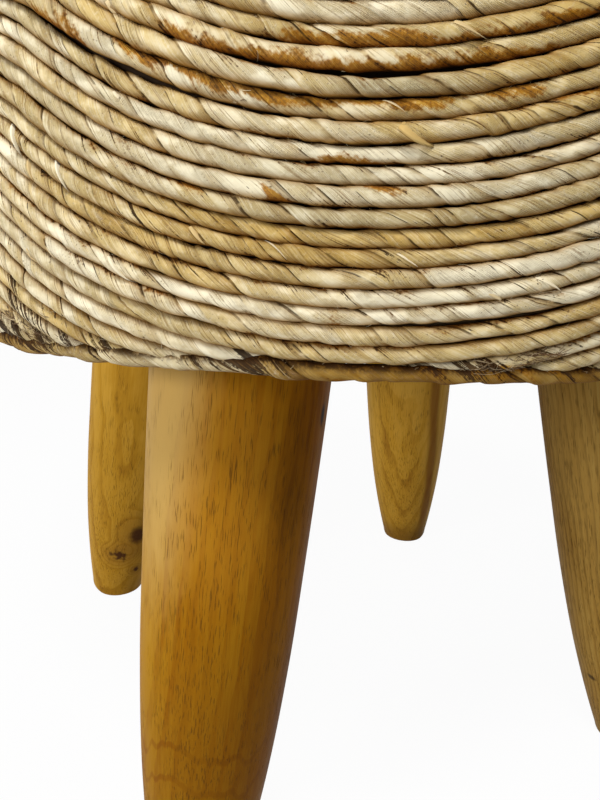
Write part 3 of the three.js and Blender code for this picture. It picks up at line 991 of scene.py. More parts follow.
# %% Dry leaf
old_leaf, oldest_leaf = (0.48, 0.42, 0.26), (0.25, 0.19, 0.08)
rib_brown = (0.28, 0.19, 0.07)
pale_fibre, bleached_leaf = (0.84, 0.77, 0.57), (0.86, 0.8, 0.64)


def dry_leaf(finish, grain, light, mid, deep):
    """The colour of clean leaf."""
    shade = (grain.tone + (grain.leaf - 0.5) * 0.32 + (grain.patch - 0.5) * 0.8
             + (grain.strips - 0.5) * 0.5)
    straw = finish.add("ValToRGB", {"stops": [(0.0, light), (0.45, mid), (1.0, deep)]}, [shade])
    old = finish.blend(grain.tone + (grain.strips - 0.5), old_leaf, oldest_leaf)
    aged = finish.blend(grain.grey * 0.8, straw, old)
    ribbed = finish.blend(grain.ribs * 0.34, aged, rib_brown)
    fresh = 1 - grain.tone.between(0.45, 1.0) * 0.85
    pale_lines = 1 - grain.fibres.between(0.34, 0.46)
    lined = finish.blend(pale_lines * fresh * 0.22, ribbed, pale_fibre)
    mottled = grain.speck.between(0.52, 0.75) + grain.patch.between(0.6, 0.8)
    return finish.blend(mottled * fresh * 0.25, lined, bleached_leaf)


print("clean leaf ready")

# %% [markdown]
# Then come the stains. Amber shows where the leaf was wet, and it lies on one edge of the
# rope, as if it had run down. The lean tells which edge: it tilts the mask across the rope.
# Adding noise to a mask before its step gives a ragged edge instead of a soft one.

# %% Stains
amber_stops = [(0.36, (0.52, 0.285, 0.035)), (0.5, (0.35, 0.145, 0.006)),
               (0.64, (0.14, 0.048, 0.002))]
dusk_and_slit_shade_colour = (0.024, 0.01, 0.004)
tilt_strength = 2.8


def stained_leaf(finish, grain, clean):
    """Amber and dusky stains over clean leaf, and dark painted shade at slits near the rim."""
    tilt = ((grain.around - outward_share)
            * (grain.lean.between(0, 1) * (2 * tilt_strength) - tilt_strength))
    stain = (grain.amber * 0.9 + tilt + (grain.patch - 0.5) * 1.3 + (grain.strips - 0.5) * 0.8
             + (grain.speck - 0.5) * 0.7 - 0.16).between(0.26, 0.64)
    amber = finish.add("ValToRGB", {"stops": amber_stops},
                       [grain.speck * 0.35 + grain.strips * 0.4 + grain.fibres * 0.25])
    stained = finish.blend(stain * 0.94, clean, amber)
    # The dusk mask darkens dusky stains, and also paints shade into the slits near the rim.
    dusk = (grain.dusk + tilt * 0.5 + (grain.strips - 0.5) * 1.3 + (grain.fibres - 0.5) * 1.6
            + (grain.speck - 0.5) * 0.8).between(0.42, 0.6)
    return finish.blend(dusk * 0.95, stained, dusk_and_slit_shade_colour)


print("amber stops:", len(amber_stops))

# %% [markdown]
# Use leaves dirt: tiny specks and dark fibres in groups. The rope at the rim also gets painted
# shade in patches on its upper edge, by the slit under the last turn. The turns press so close
# that little light reaches the sides of the rope. The renderer works that out by itself, but
# shade is painted on too: the sides of the rope are tinted darker, the lower edge a little more,
# near black at the slits, and so is the end of each fold.

# %% Dirt, shade and creases
# On the line below, the middle colour is painted shade for the rope at the rim; the other two are dirt and
# dark fibres.
dirt_brown, edge_slit_shade_brown, line_brown = (0.13, 0.075, 0.03), (0.06, 0.032, 0.012), (0.19, 0.1, 0.03)
# Painted shade: these colours darken the end of each fold, the sides of the rope and, near black, its
# edges at the slits.
fold_shade_tint, side_shade_tint, slit_shade_brown = (0.5, 0.35, 0.17), (0.44, 0.25, 0.055), (0.055, 0.023, 0.003)
# The painted shade is shifted a little so that the lower edge of the rope gets more of it.
shade_shift = 0.028


def soiled_and_edge_shaded_leaf(finish, grain, leaf, edge_slit_shade):
    """Specks of dirt, groups of dark fibres, and painted shade in patches on the upper edge."""
    specks = finish.noise(finish.place(grain.along / (0.55 * mm), grain.around * 26), 1.0, 0.0)
    dirt = specks.between(0.68, 0.78)
    dirty = finish.blend(dirt * grain.patch.between(0.48, 0.6) * 0.6, leaf, dirt_brown)
    # Painted shade: on the rope at the rim, patches of the upper edge by the slit are darkened.
    low = (outward_share - grain.around).between(0.02, 0.2)
    edge_shade_mask = low * (grain.patch + grain.speck - 0.5).between(0.3, 0.55)
    edge_shaded = finish.blend(edge_shade_mask * edge_slit_shade, dirty, edge_slit_shade_brown)
    lines = (grain.fibres.between(0.53, 0.66) * grain.groups.between(0.38, 0.6)
             * grain.speck.between(0.22, 0.5))
    return finish.blend(lines * 0.58, edge_shaded, line_brown)


def shaded_leaf(finish, grain, leaf):
    """Painted shade: darker at the end of each fold and towards the sides of the rope."""
    fold_end = grain.share.between(0.6, 0.97) * grain.leaf
    fold_shaded = finish.blend(fold_end * 0.6, leaf, fold_shade_tint, "MULTIPLY")
    sideways = (grain.around - outward_share + shade_shift).math("ABSOLUTE")
    side_shaded = finish.blend(sideways.between(0.04, 0.225) * 0.95, fold_shaded, side_shade_tint, "MULTIPLY")
    return finish.blend(sideways.between(0.185, 0.265), side_shaded, slit_shade_brown)


def creases(finish, grain):
    """1 in the groove between two folds, fading out here and there."""
    fade = finish.noise(finish.place(grain.along / (5 * mm), grain.around * 5), 1.0, 1.0)
    groove = grain.share.between(0.9, 0.975) + (1 - grain.share.between(0.005, 0.04))
    return groove * grain.leaf.between(0.3, 0.9) * fade.between(0.35, 0.55)


print("dirt, shade and creases ready")

# %% [markdown]
# The finish puts these layers together. Its bump takes the fine relief that the mesh is too
# coarse for: ribs stand up, and fibres and creases are cut in. The rope is matt all over, so
# its specular level is set low on the shader itself, and only its roughness varies.

# %% Rope finish
# Painted shade: the grooves between folds are darkened in the colour, besides being cut in by the bump.
crease_shade_brown = (0.035, 0.015, 0.003)
rope_gloss = 0.06
rope_bump = 0.3 * mm


def rope_finish(name, light, mid, deep, crease_depth, edge_slit_shade):
    """Twisted leaf in three colours, with how deep its creases are and how much painted shade lies on its
    upper edge.
    """
    finish = Finish(name)
    grain = leaf_grain(finish)
    stained = stained_leaf(finish, grain, dry_leaf(finish, grain, light, mid, deep))
    shaded = shaded_leaf(finish, grain, soiled_and_edge_shaded_leaf(finish, grain, stained, edge_slit_shade))
    crease = creases(finish, grain)
    height = (grain.ribs * 0.4 - grain.fibres * 0.8 + grain.speck * 0.25 - crease * crease_depth
              + grain.patch * 0.5 + grain.strips * 0.6)
    return finish.surface(
        base_color=finish.blend(crease * 0.92, shaded, crease_shade_brown),
        roughness=0.6 + grain.patch * 0.2, specular_ior_level=rope_gloss,
        normal=finish.bump(height, rope_bump, 1.0))


straw_rope = rope_finish("twisted_leaf_rope", (0.78, 0.705, 0.51), (0.59, 0.44, 0.185),
                         (0.45, 0.275, 0.055), crease_depth=1.6, edge_slit_shade=0.0)
print("nodes in the rope's finish:", len(straw_rope.node_tree.nodes))

# %% [markdown]
# The CAD model holds the same rope as plain tubes, and over the top as a plain shell. The
# bands take the place of the winding and the last band that of the shell too, and the arches
# take the place of the short lengths of their side. All of it rides on the one body.

# %% Rope in place
for band in bands:
    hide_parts("rope_winding")
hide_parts("rope_top")
for side, piece in arches.items():
    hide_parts(*[name for name in nodes if name.startswith(f"rope_arch_{side}")])
for piece in [*bands, *arches.values()]:
    piece.data.materials.append(straw_rope)
    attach(piece, "root")
print("rope dressed:", len(bands) + len(arches), "pieces")

# %% [markdown]
# ## The rope along the rim
#
# One thicker, darker rope, golden brown and soiled, runs round the rim and covers the ends of
# the turns. Its upper edge, by the slit under the last turn, gets painted shade in patches. A
# torus would be too even. The functions of the winding also make a closed ring of rope, and it
# sags with the rim. It has no waves to follow, and its folds are deeper because it is bent the
# tightest. Small ripples make it rise, swell and change colour.

# %% Border rope
border_thickness = 5.7 * mm
border_rings = 960
border_proud = 0.5 * mm
border_rise = 0.5 * mm
border_relief = 2.0
border_marks = {
    "tone": [((20, 350), 26, 1.0), ((180, 374), 50, 0.12), ((260, 379), 30, 0.12), ((350, 380), 22, 1.0),
             ((390, 380), 24, 1.0), ((430, 380), 24, 1.0), ((480, 381), 24, 1.0), ((560, 380), 30, 1.05)],
    "grey": [((180, 373), 50, 0.5), ((270, 379), 26, 0.3), ((370, 380), 30, 0.0),
             ((480, 380), 60, 0.0), ((20, 350), 26, 0.2)],
    "amber": [((20, 350), 22, 0.35), ((200, 374), 60, 0.0), ((345, 378), 12, 0.5), ((430, 378), 20, 0.25),
              ((530, 380), 26, 0.4)],
    # Several dusk marks here, with the lean marks below, paint shade into the slit between this rope and
    # the last turn.
    "dusk": [((150, 371), 60, 0.0), ((360, 380), 60, 0.05), ((95, 366), 0.9, 0.8), ((196, 374), 1.0, 0.95),
             ((222, 376), 0.9, 0.95), ((266, 379), 1.1, 1.0), ((288, 380), 0.8, 0.75),
             ((465, 380), 1.2, 0.8), ((38, 355), 8, 0.45), ((470, 380), 0.9, 0.7), ((252, 372), 5, 0.8),
             ((111, 358), 3, 0.45), ((40, 349), 12, 0.5), ((8, 340), 10, 0.5), ((490, 378), 14, 0.45)],
    "lean": [((252, 372), 10, 0.0), ((111, 358), 8, 0.0), ((40, 349), 16, 0.0), ((490, 378), 24, 0.0)],
}


def ripple(azimuth, crests, size, shift=0):
    """A wave with this many crests round the rim."""
    return np.sin(azimuth * crests + shift) * size


def make_border():
    turn = np.arange(border_rings) / border_rings
    azimuth = turn * full_turn
    s = np.full(border_rings, rim_end)
    points, normals = on_seat(azimuth, s, border_proud)
    points[:, 2] += border_rise + ripple(azimuth, 7, 0.3 * mm) + ripple(azimuth, 17, 0.2 * mm, 1)
    points = sagged(points, s)[0]
    along = turn * (full_turn * float(seat_point(rim_end, border_proud)[0]))
    swell = ripple(azimuth, 23, 0.18 * mm) + ripple(azimuth, 41, 0.16 * mm, 2)
    values = {"tone": 0.55 + ripple(azimuth, 9, 0.2) + ripple(azimuth, 23, 0.15),
              "grey": 0.25 + ripple(azimuth, 5, 0.25),
              "amber": ripple(azimuth, 13, 0.3) + ripple(azimuth, 4, 0.25) + 0.05,
              "dusk": ripple(azimuth, 47, 1) * ripple(azimuth, 29, 1, 1) - 0.4,
              "lean": 0.5 + ripple(azimuth, 15, 0.5)}
    values = place_marks(values, border_marks, points, normals, along)
    return rope_piece("rope_border_rim", [{
        "points": points, "normals": normals, "along": along,
        "thick": border_thickness + swell, "values": values}], border_relief, closed=True)


border = make_border()
border.data.materials.append(rope_finish(
    "border_rope", (0.62, 0.52, 0.32), (0.42, 0.28, 0.08), (0.23, 0.108, 0.006),
    crease_depth=2.6, edge_slit_shade=0.85))
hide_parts("rope_border")
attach(border, "root")

# %% [markdown]
# ## Loose fibres and torn leaf
#
# Dry leaf sheds fine hairs all along the rope, and here and there a torn strip stands off.
# Ravelled tufts lie on it where it is worn, and where the turns are cut at the rim their ends
# fray. Blender's hair would be quick, but it is no mesh, and an exported copy would lose it.
# So all four kinds are thin tapering tubes along short curved paths. A flat strip is the same
# tube, pressed flat. In the bake map every fibre has a square cell of its own.

# %% Mesh and finish of loose fibres
skin_share, tips_share = 0.9, 0.95
tip_middle, tip_size = (0.95, 0.25), (0.04, 0.2)


def fibre_map(count, skin, turn):
    """The bake map: the skin of each fibre fills most of its cell, with two tips beside it."""
    grid = math.ceil(math.sqrt(count))
    cell = np.stack([np.arange(count) % grid, np.arange(count) // grid], axis=1)[:, None] / grid
    circle = np.stack([np.cos(turn), np.sin(turn)], axis=1)
    tip = np.array(tip_middle) + np.array(tip_size) * circle
    tips = np.concatenate([tip[::-1], tip + np.array([0, 0.5])])[None]
    return np.concatenate([(cell + skin[None] * skin_share / grid).reshape(-1, 2),
                           (cell + tips * tips_share / grid).reshape(-1, 2)])


def fibre_piece(name, paths, widths, faces_up, flatness, sides, shades=None):
    """One piece of many small tubes. Paths hold count by steps points."""
    count, steps, _ = paths.shape
    along = np.gradient(paths, axis=1)
    along /= np.linalg.norm(along, axis=2, keepdims=True)
    side = np.cross(along, faces_up[:, None])
    side /= np.linalg.norm(side, axis=2, keepdims=True)
    up = np.cross(side, along)
    turn = np.arange(sides) / sides * full_turn
    rings = (paths[:, :, None] + widths[..., None, None] * (
        np.cos(turn)[:, None] * side[:, :, None]
        + flatness * np.sin(turn)[:, None] * up[:, :, None]))
    faces, step, column = tube_faces(steps, sides, 0)
    first = np.arange(count)[:, None, None] * steps * sides
    quads = (faces[None] + first).reshape(-1, 4)
    end = np.arange(sides)
    caps = (np.stack([end[::-1], end + (steps - 1) * sides])[None] + first).reshape(-1, sides)
    skin = np.stack([step / steps, column / sides], axis=-1).reshape(-1, 2)
    shades = rng.uniform(0, 1, count) if shades is None else shades
    piece = mesh_object(name, rings.reshape(-1, 3), [quads[:, ::-1], caps[:, ::-1]],
                        {"OFBake": fibre_map(count, skin, turn)},
                        {"shade": np.repeat(shades, steps * sides)})
    print(name, count, "fibres")
    return piece


def dress_fibres(piece, name, pale, brown):
    """Each fibre has one shade, from pale (0) to brown (1)."""
    finish = Finish(name)
    shade = finish.add("Attribute", {"attribute_name": "shade"}, output="Fac")
    piece.data.materials.append(finish.surface(
        base_color=finish.blend(shade, pale, brown), roughness=0.7, specular_ior_level=0.3))
    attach(piece, "root")


print("loose fibres can be made")

# %% [markdown]
# Hairs start on the rope's skin, most of them at its sides, where the turns rub. Each leaves
# it at a slant and bends a little. A path is only a few points: a straight start plus a bend
# that grows with the square of the way along.

# %% Hairs
hair_count = 7400
hair_steps = 5
hair_sunk = 0.1 * mm
hairs_at_sides = 0.6
side_angles, outer_angles = (55, 112), (-60, 60)
hair_leans, hair_rises = (0.4, 1.2), (0.25, 0.9)
hair_bend, hair_back = 0.45, 0.2
hair_length, shortest_hair, longest_hair = 1.0 * mm, 0.6 * mm, 4 * mm
hair_widths, hair_tip = (0.03 * mm, 0.06 * mm), 0.4
tucked_reach = 9 * mm
covered = np.flatnonzero(rope_s < rim_end - tucked_reach)


def bent_paths(start, aim, bend, length, steps):
    """Curved paths that leave along aim and turn towards bend."""
    t = np.linspace(0, 1, steps)[None, :, None]
    return start[:, None] + length[:, None, None] * (t * aim[:, None] + t * t * bend[:, None])


def skin_places(rings, angles, sink):
    """Points on the rope's skin at angles round it, with the ways off it and along it."""
    around = np.stack([rings - 1, rings, rings + 1], axis=1).clip(0, len(rope_points) - 1)
    along = rope_points[around[:, 2]] - rope_points[around[:, 0]]
    along /= np.linalg.norm(along, axis=1, keepdims=True)
    side = np.cross(along, rope_normals[rings])
    out = np.cross(side, along)
    away = np.cos(angles)[:, None] * out + np.sin(angles)[:, None] * side
    return rope_points[rings] + away * (rope_thick[rings] / 2 - sink)[:, None], away, along


def make_hairs(count):
    """Short hairs all over the rope, most of them at its sides."""
    rings = rng.choice(covered, count)
    at_side = rng.choice([-1, 1], count) * rng.uniform(*side_angles, count)
    angles = np.where(rng.uniform(0, 1, count) < hairs_at_sides, at_side,
                      rng.uniform(*outer_angles, count)) * degree
    start, away, along = skin_places(rings, angles, hair_sunk)
    lean = rng.choice([-1, 1], count)[:, None] * rng.uniform(*hair_leans, (count, 1))
    aim = away * rng.uniform(*hair_rises, (count, 1)) + along * lean
    bend = rng.normal(0, hair_bend, (count, 3)) - away * hair_back
    length = np.minimum(rng.exponential(hair_length, count) + shortest_hair, longest_hair)
    paths = bent_paths(start, aim, bend, length, hair_steps)
    taper = np.linspace(1, hair_tip, hair_steps)[None]
    width = rng.uniform(*hair_widths, (count, 1)) * taper
    return fibre_piece("rope_hairs", paths, width, away, flatness=1.0, sides=3)


dress_fibres(make_hairs(hair_count), "leaf_hairs", (0.7, 0.62, 0.42), (0.3, 0.2, 0.08))

# %% [markdown]
# A torn strip is still part of the leaf. It follows the fibres over the rope's skin and only
# lifts off towards its tip, by the cube of the way along. Most strips lie anywhere. Those that
# the photograph shows are marked by a pixel, the angle round the rope in degrees, and their
# length, width and lift in millimetres, with a shade.

# %% Torn strips
strip_count = 320
strip_steps = 9
strip_sunk = 0.12 * mm
strip_angles, strip_shades = (-95, 40), (0.2, 1)
strip_lengths, strip_widths = (3, 8), (0.2, 1.1)
strip_lift, least_lift = 0.3, 0.1
flap_marks = [((402, 128), -45, 10, 2.3, 0.7, 0.95), ((8, 130), -95, 9, 1.3, 0.9, 0.0),
              ((48, 168), -95, 9, 1.2, 0.9, 0.0), ((385, 120), -80, 6, 1.2, 0.3, 0.6),
              ((262, 258), -90, 7, 0.7, 0.9, 0.3), ((395, 268), -60, 6, 0.8, 0.6, 0.3),
              ((540, 290), -60, 7, 0.9, 1.2, 0.2), ((105, 262), -80, 10, 1.6, 0.3, 0.1),
              ((455, 20), -60, 8, 1.4, 0.2, 0.75)]


def skin_paths(rings, angles, lengths, lifts, steps):
    """Paths that follow the fibres over the rope's skin and lift off towards their tips."""
    t = np.linspace(0, 1, steps)[None]
    travel = t * lengths[:, None]
    at = rings[:, None] + travel / ring_spacing
    turned = angles[:, None] + travel / lay_length * full_turn
    lift = -strip_sunk + lifts[:, None] * t ** 3
    index = np.arange(len(rope_points))
    centre = np.stack([np.interp(at, index, rope_points[:, i]) for i in range(3)], axis=-1)
    out = np.stack([np.interp(at, index, rope_normals[:, i]) for i in range(3)], axis=-1)
    along = np.gradient(centre, axis=1)
    along /= np.linalg.norm(along, axis=2, keepdims=True)
    side = np.cross(along, out)
    away = np.cos(turned)[..., None] * out + np.sin(turned)[..., None] * side
    return centre + away * (np.interp(at, index, rope_thick) / 2 + lift)[..., None], away[:, 0]


def make_torn_strips(count):
    """Strips anywhere on the rope, and those at the marks."""
    pixels, turned, lengths, widths, lifted, browns = zip(*flap_marks)
    found = [nearest_ring(pixel, rope_points, rope_normals) for pixel in pixels]
    rings = np.append(rng.choice(covered[:-40], count), found)
    angles = np.append(rng.uniform(*strip_angles, count), turned) * degree
    length = np.append(rng.uniform(*strip_lengths, count), lengths) * mm
    lifts = np.append(rng.exponential(strip_lift, count) + least_lift, lifted) * mm
    width = np.append(rng.uniform(*strip_widths, count), widths)[:, None] * mm
    shades = np.append(rng.uniform(*strip_shades, count), browns)
    paths, away = skin_paths(rings, angles, length, lifts, strip_steps)
    taper = np.sin(np.linspace(0.2, 0.97, strip_steps) * math.pi)[None] ** 0.7
    return fibre_piece("torn_leaf_strips", paths, width * taper, away, 0.1, 6, shades)


dress_fibres(make_torn_strips(strip_count), "torn_leaf", (0.84, 0.76, 0.56), (0.52, 0.34, 0.1))

# %% [markdown]
# A tuft is a knot of ravelled fibres that lie along the rope and curl. Its mark holds a pixel,
# half the stretch of rope it covers in tenths of a millimetre, how many fibres it has, about
# how long they are in millimetres, and their shade. A few fibres would hang down like threads,
# but dry leaf is too stiff for that, so they are taken away.

# %% Tufts
tuft_steps = 9
tuft_sunk = 0.2 * mm
tuft_angles, tuft_shades = 50, 0.35
tuft_rises, tuft_sideways = (0.02, 0.25), 0.3
tuft_curls, tuft_phases, curl_lift = (0.03, 0.2), (2, 7), 0.4
tuft_widths, tuft_tip = (0.05 * mm, 0.22 * mm), 0.5
tuft_hang = 1.5 * mm
tuft_marks = [((545, 284), 20, 26, 2.2, 0.4), ((128, 152), 16, 20, 1.6, 0.4),
              ((266, 196), 12, 14, 1.4, 0.8), ((505, 361), 80, 120, 4.5, 0.8),
              ((474, 366), 40, 90, 3.0, 0.9), ((545, 354), 60, 60, 4.0, 0.8),
              ((12, 320), 40, 90, 2.8, 0.9), ((34, 334), 60, 200, 2.4, 1.0),
              ((62, 342), 50, 80, 2.4, 0.8), ((6, 328), 40, 80, 2.4, 1.0),
              ((50, 312), 30, 40, 2.6, 0.6), ((100, 347), 24, 30, 2.0, 0.5),
              ((240, 100), 6, 20, 1.6, 0.4), ((352, 60), 8, 30, 1.6, 0.5),
              ((160, 352), 22, 30, 1.8, 0.4), ((215, 362), 20, 20, 1.6, 0.3)]


def hanging(paths, allowed):
    """Which paths end more than this far below their start."""
    return paths[:, 0, 2] - paths[:, -1, 2] > allowed


def make_tufts():
    """Ravelled fibres at the marks."""
    pixels, spreads, counts, reaches, browns = zip(*tuft_marks)
    middle = [nearest_ring(pixel, rope_points, rope_normals) for pixel in pixels]
    spread = np.repeat(spreads, counts) * 0.1 * mm / ring_spacing
    reach = np.repeat(reaches, counts) * mm
    count = sum(counts)
    shades = (np.repeat(browns, counts) + rng.normal(0, tuft_shades, count)).clip(0, 1)
    rings = (np.repeat(middle, counts) + rng.normal(0, 0.6, count) * spread).astype(int)
    start, away, along = skin_places(rings, rng.normal(0, tuft_angles, count) * degree, tuft_sunk)
    side = np.cross(along, away)
    t = np.linspace(0, 1, tuft_steps)[None, :, None]
    length = ((rng.exponential(0.5, count) + 0.3).clip(0, 1.6) * reach)[:, None, None]
    aim = (away * rng.uniform(*tuft_rises, (count, 1)) + along * rng.normal(0, 1.0, (count, 1))
           + side * rng.normal(0, tuft_sideways, (count, 1)))[:, None]
    curl = rng.uniform(*tuft_curls, (count, 1, 1)) * length
    phase = t * rng.uniform(*tuft_phases, (count, 1, 1))
    paths = (start[:, None] + length * t * aim + curl * np.sin(phase) * side[:, None]
             + curl * (1 - np.cos(phase)) * away[:, None] * curl_lift)
    taper = np.linspace(1, tuft_tip, tuft_steps)[None]
    width = rng.uniform(*tuft_widths, (count, 1)) * taper
    kept = ~hanging(paths, tuft_hang)
    return fibre_piece("rope_tufts", paths[kept], width[kept], away[kept], 0.4, 4, shades[kept])


dress_fibres(make_tufts(), "tuft_fibres", (0.6, 0.47, 0.27), (0.095, 0.045, 0.014))

# %% [markdown]
# Where a length of rope is cut at the rim, its leaf splays. Every cut end gets a brush of short
# fibres that point onward along the rope and spread outwards.

# %% Frayed ends
frays_per_end = 30
fray_steps = 6
fray_sunk, rings_back = 0.6 * mm, 9
fray_angles, fray_rises = (-100, 100), (0.1, 0.6)
fray_spread, fray_bend = 0.2, 0.45
fray_lengths = (1.2 * mm, 4.5 * mm)
fray_widths, fray_tip = (0.06 * mm, 0.3 * mm), 0.5
fray_hang = 1.2 * mm


def make_frayed_ends(per_end):
    """Brushes of fibres at both ends of each short length, and at the start of the long one."""
    ends = [(high - 1, 1) for _, high in runs[:-1]] + [(low, -1) for low, _ in runs]
    rings = np.repeat([ring for ring, _ in ends], per_end)
    onward = np.repeat([way for _, way in ends], per_end)[:, None]
    count = len(rings)
    rings = rings - onward[:, 0] * rng.integers(0, rings_back, count)
    angles = rng.uniform(*fray_angles, count) * degree
    start, away, along = skin_places(rings, angles, fray_sunk)
    aim = (along * onward + away * rng.uniform(*fray_rises, (count, 1))
           + rng.normal(0, fray_spread, (count, 3)))
    bend = rng.normal(0, fray_bend, (count, 3))
    length = rng.uniform(*fray_lengths, count)
    paths = bent_paths(start, aim, bend, length, fray_steps)
    taper = np.linspace(1, fray_tip, fray_steps)[None]
    width = rng.uniform(*fray_widths, (count, 1)) * taper
    kept = ~hanging(paths, fray_hang)
    return fibre_piece("frayed_rope_ends", paths[kept], width[kept], away[kept], 0.5, 4)


dress_fibres(make_frayed_ends(frays_per_end), "frayed_leaf", (0.6, 0.48, 0.27), (0.12, 0.06, 0.02))

# %% [markdown]
# ## The legs
#
# Each leg is a turned hardwood cone that swells quickly near the foot and slowly near the
# seat, with a rounded lower edge and a flat cut on the floor. It could be an outline spun by a
# Screw modifier. Rings of points from the same outline are as easy, and they keep each point's
# place on the leg before it is tipped, which the grain needs. The CAD leg has few sides, so a
# smooth one from the same outline stands in its place.

# %% Outline of a leg
leg_foot_inset = 27.8 * mm
leg_top_inset = 75.6 * mm
leg_foot_radius = 18.5 * mm
leg_top_radius = 37 * mm
leg_foot_rounding = 8 * mm
leg_foot_overrun = 3 * mm
board_recess = 5 * mm
joint_gap = 0.3 * mm
leg_high = rim_height + board_recess - joint_gap
leg_height_shares = [0, 0.05, 0.2, 0.41, 0.62, 0.83, 1]
leg_swell_shares = [0, 0.124, 0.427, 0.686, 0.827, 0.935, 1]
leg_rings = 110
foot_arc_points = 14


def curve_through(places, x, y):
    """A smooth curve through points, by cubic pieces with slopes from the neighbours."""
    x, y = np.array(x), np.array(y)
    slopes = np.gradient(y, x)
    i = np.clip(np.searchsorted(x, places, side="right") - 1, 0, len(x) - 2)
    width = x[i + 1] - x[i]
    t = (places - x[i]) / width
    return ((1 + 2 * t) * (1 - t) ** 2 * y[i] + t * (1 - t) ** 2 * width * slopes[i]
            + t * t * (3 - 2 * t) * y[i + 1] + t * t * (t - 1) * width * slopes[i + 1])


def leg_outline(length):
    """Radii and heights along the leg's axis, from the foot up."""
    turn = np.linspace(0, quarter_turn, foot_arc_points)
    radius = leg_foot_radius - leg_foot_rounding * (1 - np.sin(turn))
    height = leg_foot_rounding * (1 - np.cos(turn)) - leg_foot_overrun
    rise = np.linspace(0, 1, leg_rings)[1:]
    swell = curve_through(rise, leg_height_shares, leg_swell_shares)
    low = height[-1]
    radius = np.append(radius, leg_foot_radius + (leg_top_radius - leg_foot_radius) * swell)
    height = np.append(height, low + (length - low) * rise)
    return np.append(radius, leg_top_radius), np.append(height, length + leg_top_radius)


print("leg outline:", len(leg_outline(leg_high)[0]), "rows")

# %% [markdown]
# A leg is made upright and tipped to its splay. Then it is cut level at the floor and just
# under the board that it is bolted to. In the viewport that cut is Bisect with Fill. The same
# leg, turned by a quarter round the seat each time, stands at all four corners.

# %% The four legs
leg_sides = 96


def cut_flat(mesh, level, side):
    """Cut the mesh flat at a level and close it. The part above goes for side 1, below for -1."""
    edit = bmesh.new()
    edit.from_mesh(mesh)
    found = bmesh.ops.bisect_plane(
        edit, geom=[*edit.verts, *edit.edges, *edit.faces], plane_co=(0, 0, level),
        plane_no=(0, 0, side), clear_outer=True)
    rim = [part for part in found["geom_cut"] if isinstance(part, bmesh.types.BMEdge)]
    bmesh.ops.contextual_create(edit, geom=rim)
    edit.to_mesh(mesh)
    edit.free()


def make_leg(corner, quadrant):
    """A smooth turned leg that stands at one corner and replaces the CAD leg there."""
    foot_reach = (seat_diameter / 2 - leg_foot_inset) * math.cos(eighth_turn)
    top_reach = (seat_diameter / 2 - leg_top_inset) * math.cos(eighth_turn)
    axis = Vector((top_reach - foot_reach, top_reach - foot_reach, leg_high))
    radius, height = leg_outline(axis.length)
    angle = np.arange(leg_sides) / leg_sides * full_turn
    local = np.stack([radius[:, None] * np.cos(angle), radius[:, None] * np.sin(angle),
                      np.repeat(height[:, None], leg_sides, axis=1)], axis=-1).reshape(-1, 3)
    faces, _, _ = tube_faces(len(radius), leg_sides, 0)
    bottom = np.arange(leg_sides)
    caps = np.array([bottom[::-1], bottom + (len(radius) - 1) * leg_sides])
    piece = mesh_object(f"turned_leg_{corner}", local, [faces[:, ::-1], caps],
                        values={"grain_place": local})
    place = (Matrix.Rotation(quadrant * quarter_turn, 4, "Z")
             @ Matrix.Translation((foot_reach, foot_reach, 0))
             @ Vector((0, 0, 1)).rotation_difference(axis).to_matrix().to_4x4())
    piece.data.transform(place)
    cut_flat(piece.data, 0, -1)
    cut_flat(piece.data, leg_high, 1)
    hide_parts(f"leg_{corner}")
    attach(piece, "root")
    return piece


corners = ["back_right", "back_left", "front_left", "front_right"]
legs = {corner: make_leg(corner, quadrant) for quadrant, corner in enumerate(corners)}
print("legs:", [len(leg.data.polygons) for leg in legs.values()])

# %% [markdown]
# ## The wood
#
# A trunk grows in rings, and a turned leg cuts through them. Where the rings run steeply
# through the surface they show as fine lines, and where they touch it they open into arches.
# A picture of wood could be wrapped round the leg, but it would leave a seam. So the pattern is
# made in space, and the surface shows what it cuts. It starts with layers of noise. Each is
# stretched along the leg by dividing the place by a width across the grain and a length along
# it. A shift gives each leg wood of its own.

# %% Layers of grain
grain_layers = {
    "wave": (40 * mm, 90 * mm, 2.0, 0),
    "fleck": (6 * mm, 14 * mm, 2.0, 0),
    "fine": (1 * mm, 36 * mm, 3.0, 0),
    "broad": (26 * mm, 200 * mm, 1.0, 0),
    "pores": (0.38 * mm, 11 * mm, 1.0, 0),
    "weather": (30 * mm, 130 * mm, 1.0, 50),
}


def grain_of(finish, parts, shift):
    """All layers of grain: each is noise with a width, a length, a detail and a shift."""
    x, y, z = parts
    grain = {}
    for key, (width, length, detail, layer_shift) in grain_layers.items():
        place = finish.place(x / width, y / width, z / length + (shift + layer_shift))
        grain[key] = finish.noise(place, 1.0, detail)
    return grain


print("layers of grain:", ", ".join(grain_layers))

# %% [markdown]
# Knots, worn patches, patches of painted light and shade, and small marks all are oval
# spots. A spot is drawn by the distance from its middle, counted in its own half sizes, and
# noise on that distance makes its edge wavy.

# %% Spots in the wood
spot_full, spot_end = 0.35, 1.05


def spot(finish, place, centre, half_size, waver):
    """1 in the middle of an oval spot and 0 outside it, with a wavy edge. It is placed in mm."""
    away = finish.add("VectorMath", {"operation": "SUBTRACT"},
                      [place, tuple(x * mm for x in centre)])
    scaled = finish.add("VectorMath", {"operation": "MULTIPLY"},
                        [away, tuple(1 / (half * mm) for half in half_size)])
    far = finish.add("VectorMath", {"operation": "LENGTH"}, [scaled], output="Value")
    return 1 - (far + waver).between(spot_full, spot_end)


print("spots fade from", spot_full, "to", spot_end)

# %% [markdown]
# The rings run round the trunk's middle, the pith, which lies beside the leg. Each ring starts
# pale, darkens slowly and ends in a thin dark line, the late wood. The distance from the pith
# divided by a ring's width counts the rings, and its fraction tells how far a place is through
# the year. Where a branch grew out, the rings bulge round the knot.

